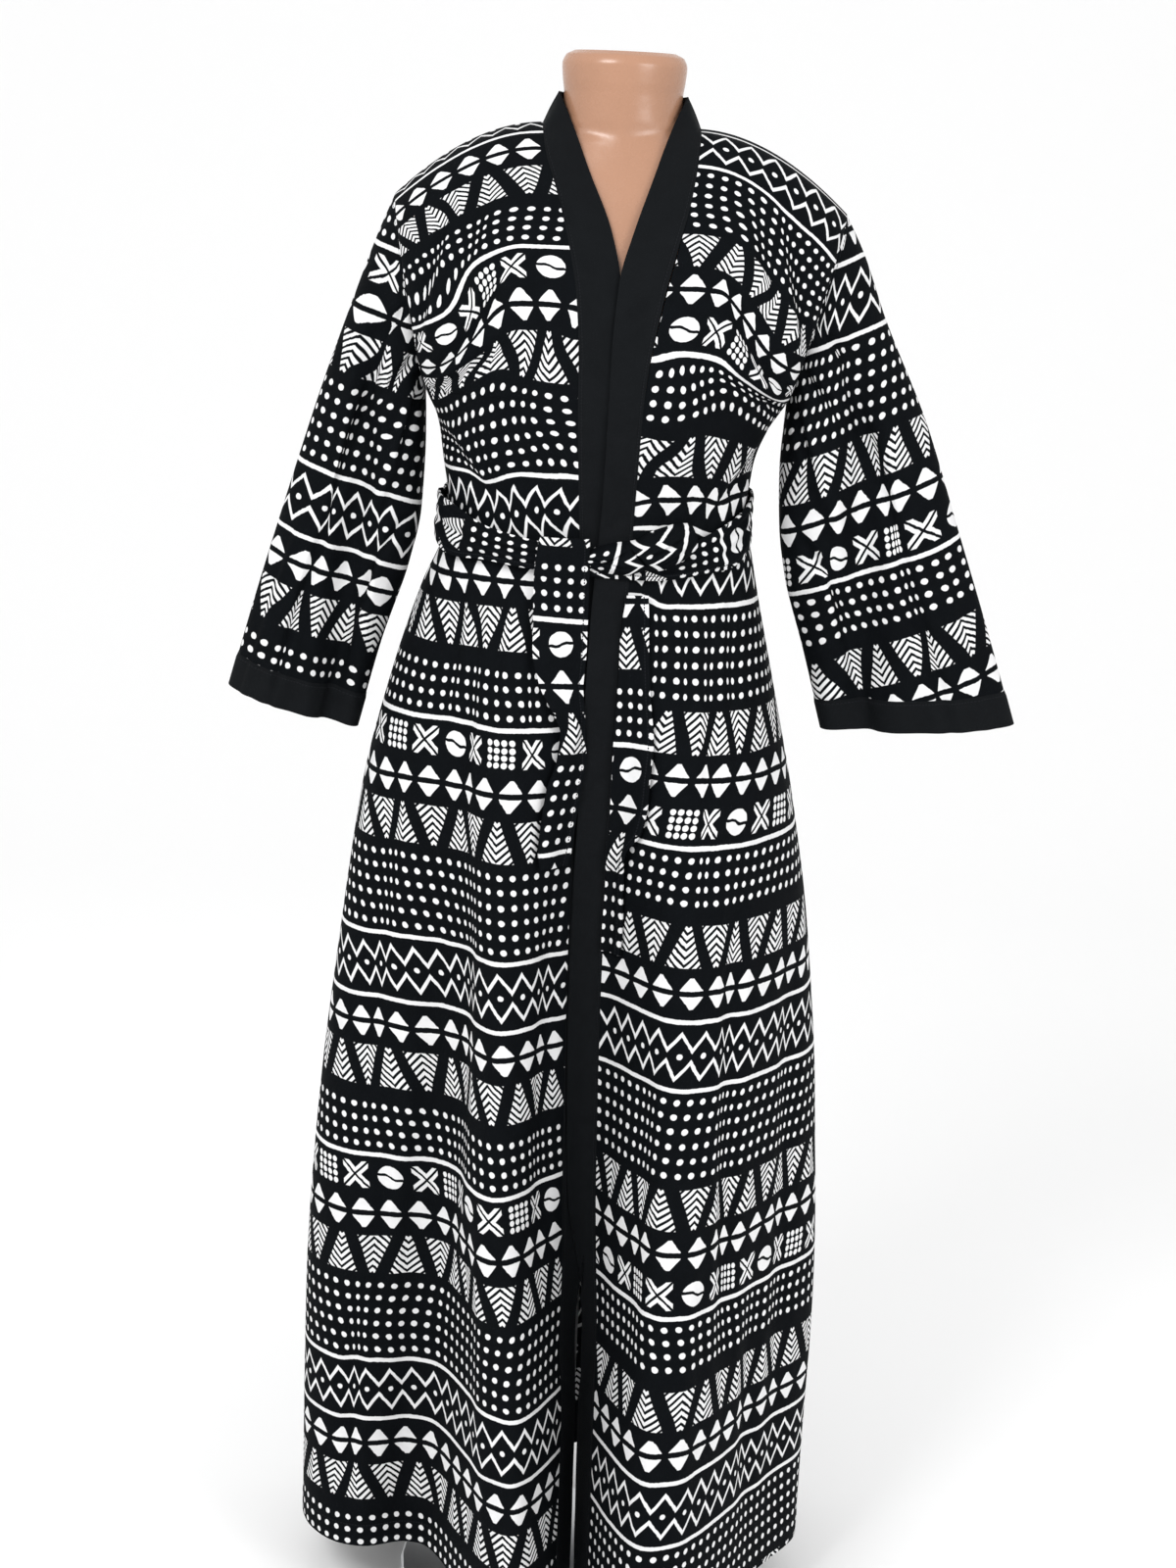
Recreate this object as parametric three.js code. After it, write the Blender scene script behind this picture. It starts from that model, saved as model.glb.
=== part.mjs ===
// A printed cotton kimono robe worn by a limbless dress form on a stand.
// Millimetres, +Z up, the front faces -Y, and +X is the wearer's left.
// The origin is on the floor, at the middle of the stand's base.
import * as THREE from "three";

// Driving dimensions of the robe
const ROBE_LENGTH = 1360; // from the neck point of the shoulder to the hem
const NECK_POINT_Z = 1420; // height of that neck point above the floor
const ARMHOLE_DROP = 236; // from the neck point's level down to the armpit
const SHOULDER_FALL = 68; // from the neck point down to the shoulder's end
const NECK_HALF = 70; // half of the neckline's width at the shoulders
const BACK_NECK_DIP = 14; // how far the back neckline dips below the neck points
const NECK_BAND_RISE = 27; // how far the black band stands above the neck points
const CLOTH = 1.8; // wall of the printed cotton
const DOUBLED = 2.6; // wall of the folded black bands and of the belt
const SEAM = 0.3; // gap between two pieces that are sewn together
const OVERLAP_LIFT = 4.4; // how far the left front lies over the right front
const CUFF_SHARE = 0.925; // where the cuff begins, as a share of the sleeve
const BELT_HALF = 19; // half of the belt's width round the waist
const BELT_CLEAR = 1.2; // from the cloth's outer face to the belt's inner face

// Driving dimensions of the stand
const POLE_RADIUS = 12.5;
const BASE_RADIUS = 155;
const BASE_THICKNESS = 6;

// Mesh density
const YOKE_STEPS = 10; // rows from the shoulder to the armpit, and half of a sleeve's ring
const SKIRT_DROPS = [
  236, 258, 282, 304, 324, 343, 362, 381, 402, 430, 468, 515,
  570, 632, 700, 775, 855, 940, 1025, 1068, 1110, 1195, 1280,
  ROBE_LENGTH,
]; // rows from the armpit to the hem, closer together round the waist
const FRONT_STEPS = 16; // columns of a front from its band to the side seam
const BAND_STEPS = 4; // columns across a black band
const BACK_STEPS = 10; // columns of each third of the back
const SLEEVE_RINGS = [0, 0.04, 0.12, 0.22, 0.33, 0.44, 0.55, 0.66, 0.76, 0.85, CUFF_SHARE];
const BELT_STEPS = 48;
const KNOT_SIDES = 16;
const KNOT_ROWS = 6;
const FORM_SIDES = 32;
const ROUND_SIDES = 36;

// The robe's sections. drop is measured down from the neck point. right and left are the half-widths on the
// wearer's right and left, front and back the depths before the folds, square the exponent of the outline.
const SECTIONS = [
  { drop: 0, right: 200, left: 205, front: 0, back: 0, square: 2.6 },
  { drop: 5.8, right: 199, left: 204, front: 40, back: 46, square: 2.6 },
  { drop: 14, right: 198, left: 202, front: 56, back: 62, square: 2.6 },
  { drop: 22.5, right: 197, left: 201, front: 68, back: 72, square: 2.6 },
  { drop: 48.6, right: 193, left: 196, front: 84, back: 86, square: 2.6 },
  { drop: 110, right: 185, left: 185, front: 104, back: 96, square: 2.6 },
  { drop: 170, right: 177, left: 174, front: 116, back: 99, square: 2.6 },
  { drop: 236, right: 168, left: 162, front: 123, back: 99, square: 2.5 },
  { drop: 262, right: 156, left: 146, front: 122, back: 98, square: 2.5 },
  { drop: 300, right: 149, left: 134, front: 116, back: 94, square: 2.4 },
  { drop: 345, right: 143, left: 130, front: 106, back: 88, square: 2.3 },
  { drop: 374, right: 147, left: 137, front: 104, back: 89, square: 2.3 },
  { drop: 416, right: 164, left: 146, front: 107, back: 98, square: 2.4 },
  { drop: 501, right: 190, left: 166, front: 110, back: 116, square: 2.6 },
  { drop: 606, right: 214, left: 190, front: 108, back: 126, square: 2.8 },
  { drop: 731, right: 229, left: 212, front: 104, back: 132, square: 3.0 },
  { drop: 900, right: 246, left: 230, front: 98, back: 138, square: 3.1 },
  { drop: 1105, right: 256, left: 241, front: 95, back: 142, square: 3.2 },
  { drop: 1360, right: 255, left: 240, front: 95, back: 145, square: 2.7 },
];

// Folds of the skirt. x is where the crest runs, depth how far it stands out of the section, inner and
// outer how far it reaches towards the centre and the side. steep is 1 where the fold falls off to the
// centre at once.
const FRONT_FOLDS = [
  [
    { drop: 392, x: -80, depth: 0, inner: 76, outer: 60, steep: 0 },
    { drop: 531, x: -78, depth: 29, inner: 80, outer: 60, steep: 0 },
    { drop: 745, x: -74, depth: 62, inner: 82, outer: 60, steep: 0 },
    { drop: 954, x: -69, depth: 88, inner: 80, outer: 64, steep: 0 },
    { drop: 1168, x: -46, depth: 112, inner: 62, outer: 84, steep: 0.45 },
    { drop: 1360, x: -42, depth: 122, inner: 62, outer: 92, steep: 1 },
  ],
  [
    { drop: 392, x: 96, depth: 0, inner: 84, outer: 110, steep: 0 },
    { drop: 531, x: 96, depth: 32, inner: 84, outer: 120, steep: 0 },
    { drop: 788, x: 95, depth: 82, inner: 82, outer: 140, steep: 0 },
    { drop: 1049, x: 88, depth: 120, inner: 74, outer: 152, steep: 0.1 },
    { drop: 1273, x: 86, depth: 146, inner: 66, outer: 152, steep: 0.8 },
    { drop: 1360, x: 86, depth: 152, inner: 66, outer: 152, steep: 1 },
  ],
  [
    { drop: 820, x: -212, depth: 0, inner: 60, outer: 60, steep: 0 },
    { drop: 1100, x: -216, depth: 12, inner: 64, outer: 60, steep: 0 },
    { drop: 1360, x: -214, depth: 14, inner: 70, outer: 60, steep: 0 },
  ],
  [
    { drop: 900, x: -150, depth: 0, inner: 50, outer: 50, steep: 0 },
    { drop: 1360, x: -140, depth: -14, inner: 50, outer: 50, steep: 0 },
  ],
];
const BACK_FOLDS = [
  [
    { drop: 400, x: -96, depth: 0, inner: 34, outer: 34, steep: 0 },
    { drop: 760, x: -138, depth: 20, inner: 48, outer: 46, steep: 0 },
    { drop: 1360, x: -168, depth: 46, inner: 62, outer: 58, steep: 0 },
  ],
  [
    { drop: 384, x: -36, depth: 0, inner: 28, outer: 30, steep: 0 },
    { drop: 700, x: -52, depth: 17, inner: 40, outer: 44, steep: 0 },
    { drop: 1360, x: -58, depth: 50, inner: 56, outer: 54, steep: 0 },
  ],
  [
    { drop: 392, x: 30, depth: 0, inner: 28, outer: 30, steep: 0 },
    { drop: 820, x: 44, depth: 24, inner: 44, outer: 46, steep: 0 },
    { drop: 1360, x: 62, depth: 44, inner: 58, outer: 54, steep: 0 },
  ],
  [
    { drop: 420, x: 92, depth: 0, inner: 34, outer: 30, steep: 0 },
    { drop: 900, x: 142, depth: 28, inner: 50, outer: 44, steep: 0 },
    { drop: 1360, x: 164, depth: 52, inner: 56, outer: 52, steep: 0 },
  ],
];

// The black front bands. seam is where a band is sewn to its front and edge its free edge, both as x. rise
// is how much higher the free edge lies than the seam, which it does where the band slants up to the neck.
const LEFT_BAND = [
  { drop: 0, seam: 70, edge: 57, rise: NECK_BAND_RISE },
  { drop: 22.5, seam: 68.5, edge: 44, rise: 21 },
  { drop: 57, seam: 64, edge: 31, rise: 17 },
  { drop: 107, seam: 53, edge: 15, rise: 15 },
  { drop: 142, seam: 45, edge: 5, rise: 10 },
  { drop: 200, seam: 34, edge: 0.5, rise: 2 },
  { drop: 236, seam: 30, edge: 0, rise: 0 },
  { drop: 315, seam: 27, edge: -1.5, rise: 0 },
  { drop: 444, seam: 24, edge: -8, rise: 0 },
  { drop: 717, seam: 19, edge: -14, rise: 0 },
  { drop: 972, seam: 26, edge: -6, rise: 0 },
  { drop: 1040, seam: 30, edge: 5, rise: 0 },
  { drop: 1110, seam: 34, edge: 19, rise: 0 },
  { drop: 1195, seam: 35, edge: 20, rise: 0 },
  { drop: 1360, seam: 37, edge: 24, rise: 0 },
];
const RIGHT_BAND = [
  { drop: 0, seam: -70, edge: -57, rise: NECK_BAND_RISE },
  { drop: 22.5, seam: -66, edge: -43, rise: 21 },
  { drop: 57, seam: -54, edge: -27, rise: 18 },
  { drop: 107, seam: -40, edge: -4, rise: 15 },
  { drop: 142, seam: -33, edge: 5, rise: 10 },
  { drop: 200, seam: -28, edge: 8, rise: 2 },
  { drop: 236, seam: -27, edge: 10, rise: 0 },
  { drop: 315, seam: -23, edge: 13, rise: 0 },
  { drop: 444, seam: -16, edge: 18, rise: 0 },
  { drop: 717, seam: -14, edge: 20, rise: 0 },
  { drop: 972, seam: -9, edge: 20, rise: 0 },
  { drop: 1040, seam: -6, edge: 15, rise: 0 },
  { drop: 1110, seam: -5, edge: 9, rise: 0 },
  { drop: 1195, seam: 0, edge: 13, rise: 0 },
  { drop: 1360, seam: 2, edge: 15, rise: 0 },
];

// A sleeve's upper fold and its underarm seam, from the armhole at 0 to the cuff's end at 1, and half its
// depth.
const LEFT_SLEEVE = [
  { along: 0, topX: 205, topZ: 1352, underX: 162, underZ: 1184, half: 52 },
  { along: 0.08, topX: 224, topZ: 1316, underX: 160.5, underZ: 1160, half: 52 },
  { along: 0.2, topX: 246, topZ: 1262, underX: 159, underZ: 1128, half: 50 },
  { along: 0.4, topX: 290, topZ: 1170, underX: 162, underZ: 1070, half: 46 },
  { along: 0.6, topX: 327, topZ: 1072, underX: 170, underZ: 1022, half: 42 },
  { along: 0.8, topX: 362, topZ: 978, underX: 191, underZ: 955, half: 38 },
  { along: 1, topX: 392, topZ: 893, underX: 213, underZ: 881, half: 35 },
];
const RIGHT_SLEEVE = [
  { along: 0, topX: -200, topZ: 1352, underX: -168, underZ: 1184, half: 52 },
  { along: 0.08, topX: -214, topZ: 1318, underX: -166.5, underZ: 1160, half: 52 },
  { along: 0.2, topX: -234, topZ: 1262, underX: -166, underZ: 1128, half: 50 },
  { along: 0.4, topX: -264, topZ: 1172, underX: -168, underZ: 1070, half: 46 },
  { along: 0.6, topX: -292, topZ: 1078, underX: -178, underZ: 1018, half: 42 },
  { along: 0.8, topX: -320, topZ: 980, underX: -201, underZ: 945, half: 38 },
  { along: 1, topX: -342, topZ: 897, underX: -222, underZ: 862, half: 35 },
];

// Sleeve folds. start and end are where they run at the two ends, from 1 at the upper fold to -1 at the
// underarm; side is -1 on the front and 1 on the back, peak the share of the run at which a fold reaches
// its depth.
const SLEEVE_FOLDS = [
  { side: -1, from: 0, start: 0.6, end: -0.65, width: 0.42, depth: -20, peak: 0.35 },
  { side: -1, from: 0.3, start: 0.8, end: 0.35, width: 0.4, depth: 7, peak: 0.85 },
  { side: 1, from: 0, start: 0.3, end: -0.1, width: 0.4, depth: -15, peak: 0.4 },
  { side: 1, from: 0.25, start: -0.5, end: -0.6, width: 0.36, depth: 6, peak: 0.8 },
];

// The dress form's sections: half-width, front and back depth at each height, and the exponent of the
// outline.
const FORM = [
  { z: 790, half: 138, front: 84, back: 82, square: 2 },
  { z: 800, half: 156, front: 95, back: 93, square: 2 },
  { z: 830, half: 161, front: 100, back: 97, square: 2 },
  { z: 880, half: 158, front: 100, back: 97, square: 2 },
  { z: 940, half: 144, front: 96, back: 90, square: 2 },
  { z: 1005, half: 128, front: 92, back: 80, square: 2 },
  { z: 1069, half: 120, front: 92, back: 76, square: 2 },
  { z: 1120, half: 124, front: 98, back: 80, square: 2 },
  { z: 1190, half: 144, front: 108, back: 84, square: 2 },
  { z: 1250, half: 160, front: 103, back: 84, square: 2 },
  { z: 1300, half: 167, front: 92, back: 80, square: 2 },
  { z: 1340, half: 168, front: 78, back: 73, square: 2 },
  { z: 1368, half: 163, front: 68, back: 66, square: 2 },
  { z: 1384, half: 154, front: 61, back: 61, square: 1.9 },
  { z: 1395, half: 139, front: 57, back: 57, square: 1.75 },
  { z: 1404, half: 118, front: 54, back: 54, square: 1.6 },
  { z: 1411, half: 90, front: 52.5, back: 52.5, square: 1.5 },
  { z: 1417, half: 67, front: 52, back: 52, square: 1.7 },
  { z: 1427, half: 54.5, front: 52, back: 52, square: 2 },
  { z: 1446, half: 53, front: 52.5, back: 52.5, square: 2 },
  { z: 1458, half: 54.5, front: 53.5, back: 53.5, square: 2 },
  { z: 1471, half: 55.5, front: 54, back: 54, square: 2 },
  { z: 1479, half: 52.5, front: 51, back: 51, square: 2 },
  { z: 1483, half: 45, front: 44, back: 44, square: 2 },
];

// The belt's middle line, as its drop at each angle round the waist, 0 at the front and 90 at the wearer's
// left.
const BELT_LINE = [
  { angle: -180, drop: 336 },
  { angle: -90, drop: 350 },
  { angle: -45, drop: 366 },
  { angle: 12, drop: 378 },
  { angle: 50, drop: 364 },
  { angle: 90, drop: 341 },
  { angle: 180, drop: 336 },
];
const KNOT = { x: 30, drop: 377, wide: 27, high: 24, deep: 12 };

// The belt's hanging ends: the middle's x, half of the width, and how far each row stands off the cloth.
const RIGHT_END = [
  { drop: 354, x: -32, half: 21, off: 12.5 },
  { drop: 385, x: -33, half: 23, off: 12.5 },
  { drop: 410, x: -34, half: 24, off: 10 },
  { drop: 455, x: -34, half: 24, off: 6.5 },
  { drop: 485, x: -32, half: 20, off: 7 },
  { drop: 512, x: -25, half: 15, off: 9.5 },
  { drop: 530, x: -21, half: 12, off: 10 },
  { drop: 552, x: -21, half: 14, off: 9.5 },
  { drop: 581, x: -27, half: 16, off: 8.5 },
  { drop: 611, x: -31, half: 15.5, off: 7 },
  { drop: 632, x: -33, half: 15, off: 6.5 },
  { drop: 652, x: -34, half: 12, off: 6.5 },
];
const LEFT_END = [
  { drop: 405, x: 33, half: 9, off: 11 },
  { drop: 430, x: 33, half: 12, off: 9.5 },
  { drop: 484, x: 36, half: 15, off: 9 },
  { drop: 542, x: 39, half: 19, off: 9 },
  { drop: 579, x: 39, half: 18.5, off: 9 },
  { drop: 615, x: 37, half: 16, off: 9 },
  { drop: 637, x: 32, half: 11, off: 10 },
  { drop: 670, x: 30, half: 10, off: 9.5 },
  { drop: 703, x: 30, half: 10.5, off: 9 },
  { drop: 733, x: 30.5, half: 10.5, off: 9 },
];

const material = (color, roughness, metalness) =>
  new THREE.MeshStandardMaterial({ color, roughness, metalness });
const PRINTED = () => material(0x1b1c1e, 0.85, 0);
const BLACK = () => material(0x0d0e10, 0.8, 0);
const PLASTIC = () => material(0xb98463, 0.35, 0);
const STEEL = () => material(0x9a9c9e, 0.3, 1);

const mix = (a, b, t) => a + (b - a) * t;
const clamp01 = (t) => Math.min(1, Math.max(0, t));
const smooth = (t) => clamp01(t) ** 2 * (3 - 2 * clamp01(t));

// A monotone cubic curve through the rows of a table, from column `at` to column `value`.
function curve(rows, at, value) {
  const xs = rows.map((r) => r[at]);
  const ys = rows.map((r) => r[value]);
  const slopes = xs.slice(1).map((x, i) => (ys[i + 1] - ys[i]) / (x - xs[i]));
  const tangents = ys.map((y, i) => {
    if (i === 0) return slopes[0];
    if (i === ys.length - 1) return slopes[i - 1];
    const [a, b] = [slopes[i - 1], slopes[i]];
    return a * b <= 0 ? 0 : (2 * a * b) / (a + b);
  });
  return (x) => {
    if (x <= xs[0]) return ys[0];
    if (x >= xs[xs.length - 1]) return ys[ys.length - 1];
    const i = xs.findIndex((next) => next > x) - 1;
    const h = xs[i + 1] - xs[i];
    const t = (x - xs[i]) / h;
    const start = ys[i] * (1 + 2 * t) * (1 - t) ** 2 + tangents[i] * h * t * (1 - t) ** 2;
    return start + ys[i + 1] * t * t * (3 - 2 * t) + tangents[i + 1] * h * t * t * (t - 1);
  };
}
const curves = (rows, at, ...values) => Object.fromEntries(values.map((v) => [v, curve(rows, at, v)]));

const section = curves(SECTIONS, "drop", "right", "left", "front", "back", "square");
const bands = {
  left: curves(LEFT_BAND, "drop", "seam", "edge", "rise"),
  right: curves(RIGHT_BAND, "drop", "seam", "edge", "rise"),
};
const sleeves = {
  left: curves(LEFT_SLEEVE, "along", "topX", "topZ", "underX", "underZ", "half"),
  right: curves(RIGHT_SLEEVE, "along", "topX", "topZ", "underX", "underZ", "half"),
};
const formAt = curves(FORM, "z", "half", "front", "back");
const foldOf = (rows) => ({
  from: rows[0].drop,
  ...curves(rows, "drop", "x", "depth", "inner", "outer", "steep"),
});
const frontFolds = FRONT_FOLDS.map(foldOf);
const backFolds = BACK_FOLDS.map(foldOf);

// How far the folds stand out of the section at x.
function foldDepth(folds, drop, x) {
  let total = 0;
  for (const f of folds) {
    if (drop <= f.from) continue;
    const crest = f.x(drop);
    const away = (x - crest) * Math.sign(crest);
    const share = Math.abs(away) / (away < 0 ? f.inner(drop) : f.outer(drop));
    if (share >= 1) continue;
    const rounded = (1 + Math.cos(share * Math.PI)) / 2;
    const falling = Math.cos((share * Math.PI) / 2);
    total += f.depth(drop) * mix(rounded, falling, away < 0 ? f.steep(drop) : 0);
  }
  return total;
}

// Half of the body's width on one hand, 1 for the wearer's left. Down to the armpit it follows the armhole.
function halfWidth(hand, drop) {
  const armhole = hand > 0 ? LEFT_SLEEVE[0] : RIGHT_SLEEVE[0];
  if (drop < ARMHOLE_DROP) return Math.abs(mix(armhole.topX, armhole.underX, drop / ARMHOLE_DROP));
  return hand > 0 ? section.left(drop) : section.right(drop);
}

// A point of the robe's body. side is -1 on the front and 1 on the back, and turn runs from -90 degrees at
// the wearer's right side seam, over 0 at the middle, to 90 degrees at the left one.
function bodyPoint(side, drop, turn) {
  const hand = Math.sign(turn);
  const power = 2 / section.square(drop);
  const share = Math.abs(Math.sin(turn)) ** power;
  const x = hand * halfWidth(hand, drop) * share;
  const t = clamp01(drop / ARMHOLE_DROP);
  const edge = 2 * LEFT_SLEEVE[0].half * Math.sqrt(t * (1 - t));
  const depth = side < 0 ? section.front(drop) : section.back(drop);
  const fold = foldDepth(side < 0 ? frontFolds : backFolds, drop, x) * smooth(Math.cos(turn) * 3);
  const out = edge + (depth - edge) * Math.max(0, Math.cos(turn)) ** power + fold;
  const fall = SHOULDER_FALL * (1 - t) * clamp01((share - 0.34) / 0.66) ** 1.9;
  return new THREE.Vector3(x, side * out, NECK_POINT_Z - drop - fall);
}

// The turn at which the body's outline is at x.
function turnAt(drop, x) {
  const width = halfWidth(Math.sign(x), drop);
  return Math.sign(x) * Math.asin(Math.min(1, Math.abs(x) / width) ** (section.square(drop) / 2));
}
const frontPoint = (drop, x) => bodyPoint(-1, drop, turnAt(drop, x));

// A point that stands off the front by a distance, square to it.
function offFront(drop, x, off) {
  const across = frontPoint(drop, x + 1).sub(frontPoint(drop, x - 1));
  const down = frontPoint(drop + 1, x).sub(frontPoint(drop - 1, x));
  return frontPoint(drop, x).addScaledVector(down.cross(across).normalize(), off);
}

// Points spaced evenly along the outline of one row, from one turn to another.
function evenRow(side, drop, from, to, steps) {
  const pieces = steps * 12;
  const fine = [];
  for (let i = 0; i <= pieces; i++) fine.push(bodyPoint(side, drop, mix(from, to, i / pieces)));
  const length = [0];
  for (let i = 1; i <= pieces; i++) length.push(length[i - 1] + fine[i].distanceTo(fine[i - 1]));
  const row = [fine[0]];
  for (let k = 1, i = 1; k < steps; k++) {
    const want = (length[pieces] * k) / steps;
    while (length[i] < want) i++;
    row.push(fine[i - 1].clone().lerp(fine[i], (want - length[i - 1]) / (length[i] - length[i - 1])));
  }
  row.push(fine[pieces]);
  return row;
}

// The drops of the rows: those of the yoke are spaced as on a circle, to meet the sleeves' rings.
const DROPS = [];
for (let i = 0; i < YOKE_STEPS; i++) {
  DROPS.push((ARMHOLE_DROP * (1 - Math.cos((i * Math.PI) / YOKE_STEPS))) / 2);
}
DROPS.push(...SKIRT_DROPS);

// The outward direction at each point of a grid. turned is -1 where the grid's own order gives the inward
// one.
function gridNormals(grid, turned, closed = false) {
  return grid.map((row, i) =>
    row.map((_, j) => {
      const last = row.length - 1;
      const before = j > 0 ? row[j - 1] : closed ? row[last] : row[0];
      const after = j < last ? row[j + 1] : closed ? row[0] : row[last];
      const up = grid[Math.max(0, i - 1)][j];
      const down = grid[Math.min(grid.length - 1, i + 1)][j];
      return after.clone().sub(before).cross(down.clone().sub(up)).multiplyScalar(turned).normalize();
    }),
  );
}

// The shared direction at the shoulder seam: square to the seam in the plane of the two shoulders.
function shoulderNormals(row) {
  return row.map((_, j) => {
    const run = row[Math.min(row.length - 1, j + 1)].clone().sub(row[Math.max(0, j - 1)]);
    const normal = new THREE.Vector3(-run.z, 0, run.x).normalize();
    return normal.z < 0 ? normal.negate() : normal;
  });
}

// The shared direction at a side seam, and round the armhole above it.
function edgeNormal(hand, p, drop) {
  if (drop > ARMHOLE_DROP) return new THREE.Vector3(hand, 0, 0);
  const armhole = hand > 0 ? LEFT_SLEEVE[0] : RIGHT_SLEEVE[0];
  const x = (armhole.topX + armhole.underX) / 2;
  const z = (armhole.topZ + armhole.underZ) / 2;
  return new THREE.Vector3(p.x - x, p.y, p.z - z).normalize();
}

// A mesh from points and faces, turned so that it faces out.
function solid(name, points, index, look) {
  let volume = 0;
  for (let i = 0; i < index.length; i += 3) {
    const [a, b, c] = [points[index[i]], points[index[i + 1]], points[index[i + 2]]];
    volume += a.dot(b.clone().cross(c));
  }
  const geometry = new THREE.BufferGeometry().setFromPoints(points);
  geometry.setIndex(volume < 0 ? index.reverse() : index);
  geometry.computeVertexNormals();
  const mesh = new THREE.Mesh(geometry, look);
  mesh.name = name;
  return mesh;
}

// A cloth wall: the grid is its outer face, and its inner face lies one thickness behind.
function wall(name, grid, normals, thickness, look, closed = false) {
  const rows = grid.length;
  const cols = grid[0].length;
  const outer = grid.flat();
  const directions = normals.flat();
  const inner = outer.map((p, k) => p.clone().addScaledVector(directions[k], -thickness));
  const at = (i, j, back) => (back ? rows * cols : 0) + i * cols + (j % cols);
  const index = [];
  const quad = (a, b, c, d) => index.push(a, b, c, a, c, d);
  const spans = closed ? cols : cols - 1;
  for (let i = 0; i < rows - 1; i++)
    for (let j = 0; j < spans; j++) {
      quad(at(i, j), at(i, j + 1), at(i + 1, j + 1), at(i + 1, j));
      quad(at(i, j, true), at(i + 1, j, true), at(i + 1, j + 1, true), at(i, j + 1, true));
    }
  for (let j = 0; j < spans; j++) {
    quad(at(0, j), at(0, j, true), at(0, j + 1, true), at(0, j + 1));
    quad(at(rows - 1, j), at(rows - 1, j + 1), at(rows - 1, j + 1, true), at(rows - 1, j, true));
  }
  for (let i = 0; !closed && i < rows - 1; i++) {
    quad(at(i, 0), at(i + 1, 0), at(i + 1, 0, true), at(i, 0, true));
    quad(at(i, cols - 1), at(i, cols - 1, true), at(i + 1, cols - 1, true), at(i + 1, cols - 1));
  }
  return solid(name, [...outer, ...inner], index, look);
}

// Moves a point towards another by half a seam.
const drawn = (p, towards) => p.clone().addScaledVector(towards.clone().sub(p).normalize(), SEAM / 2);
const columnsOf = (grid, from, to) => grid.map((row) => row.slice(from, to + 1));

// A copy of a grid with its first or last columns or rows drawn in by half a seam.
function drawnGrid(grid, edges) {
  const copy = grid.map((row) => row.map((p) => p.clone()));
  const lastRow = grid.length - 1;
  const lastColumn = grid[0].length - 1;
  copy.forEach((row, i) => {
    if (edges.includes("first column")) row[0] = drawn(row[0], grid[i][1]);
    if (edges.includes("last column")) row[lastColumn] = drawn(row[lastColumn], grid[i][lastColumn - 1]);
  });
  if (edges.includes("first row")) copy[0] = copy[0].map((p, j) => drawn(p, grid[1][j]));
  if (edges.includes("last row")) copy[lastRow] = copy[lastRow].map((p, j) => drawn(p, grid[lastRow - 1][j]));
  return copy;
}

// A point of a black front band at a share of its width, from its free edge at 0 to its seam at 1.
function bandPoint(band, drop, share) {
  const edgeZ = NECK_POINT_Z - drop + band.rise(drop);
  const clear = DOUBLED + 2.2;
  const across = Math.min(1, Math.abs(band.edge(drop)) / (formAt.half(edgeZ) + clear));
  const edgeY = drop > 0 ? -(formAt.front(edgeZ) + clear) * Math.sqrt(1 - across * across) : 0;
  const straight = mix(edgeY, frontPoint(drop, band.seam(drop)).y, share);
  const x = mix(band.edge(drop), band.seam(drop), share);
  const y = mix(straight, frontPoint(drop, x).y, smooth((drop - 130) / 110));
  return new THREE.Vector3(x, y, NECK_POINT_Z - drop + (1 - share) * band.rise(drop));
}

// One front with its band: rows from the shoulder to the hem, columns from the free edge to the side seam.
function frontGrid(hand) {
  const band = hand > 0 ? bands.left : bands.right;
  return DROPS.map((drop) => {
    const strip = [];
    for (let k = 0; k < BAND_STEPS; k++) strip.push(bandPoint(band, drop, k / BAND_STEPS));
    return [...strip, ...evenRow(-1, drop, turnAt(drop, band.seam(drop)), (hand * Math.PI) / 2, FRONT_STEPS)];
  });
}

// How fully the left front lies over the right one at a point.
const overlapShare = (drop, x) => smooth((drop - 60) / 80) * (1 - smooth((x - 45) / 70));

function frontNormals(hand, grid) {
  const normals = gridNormals(grid, -hand);
  normals[0] = shoulderNormals(grid[0]);
  normals.forEach((row, i) => {
    row[row.length - 1] = edgeNormal(hand, grid[i][row.length - 1], DROPS[i]);
  });
  return normals;
}

// The two fronts, each cut into its panel and its black band.
function fronts(word) {
  const hand = word === "left" ? 1 : -1;
  let grid = frontGrid(hand);
  if (hand > 0) {
    const flat = frontNormals(hand, grid);
    const lift = (p, i) => OVERLAP_LIFT * overlapShare(DROPS[i], p.x);
    grid = grid.map((row, i) => row.map((p, j) => p.clone().addScaledVector(flat[i][j], lift(p, i))));
  }
  const normals = frontNormals(hand, grid);
  grid[0].forEach((p) => (p.y -= SEAM / 2));
  const last = grid[0].length - 1;
  const panel = drawnGrid(columnsOf(grid, BAND_STEPS, last), ["first column", "last column"]);
  const band = drawnGrid(columnsOf(grid, 0, BAND_STEPS), ["last column"]);
  return [
    wall(`front_${word}`, panel, columnsOf(normals, BAND_STEPS, last), CLOTH, PRINTED()),
    wall(`front_band_${word}`, band, columnsOf(normals, 0, BAND_STEPS), DOUBLED, BLACK()),
  ];
}

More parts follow.
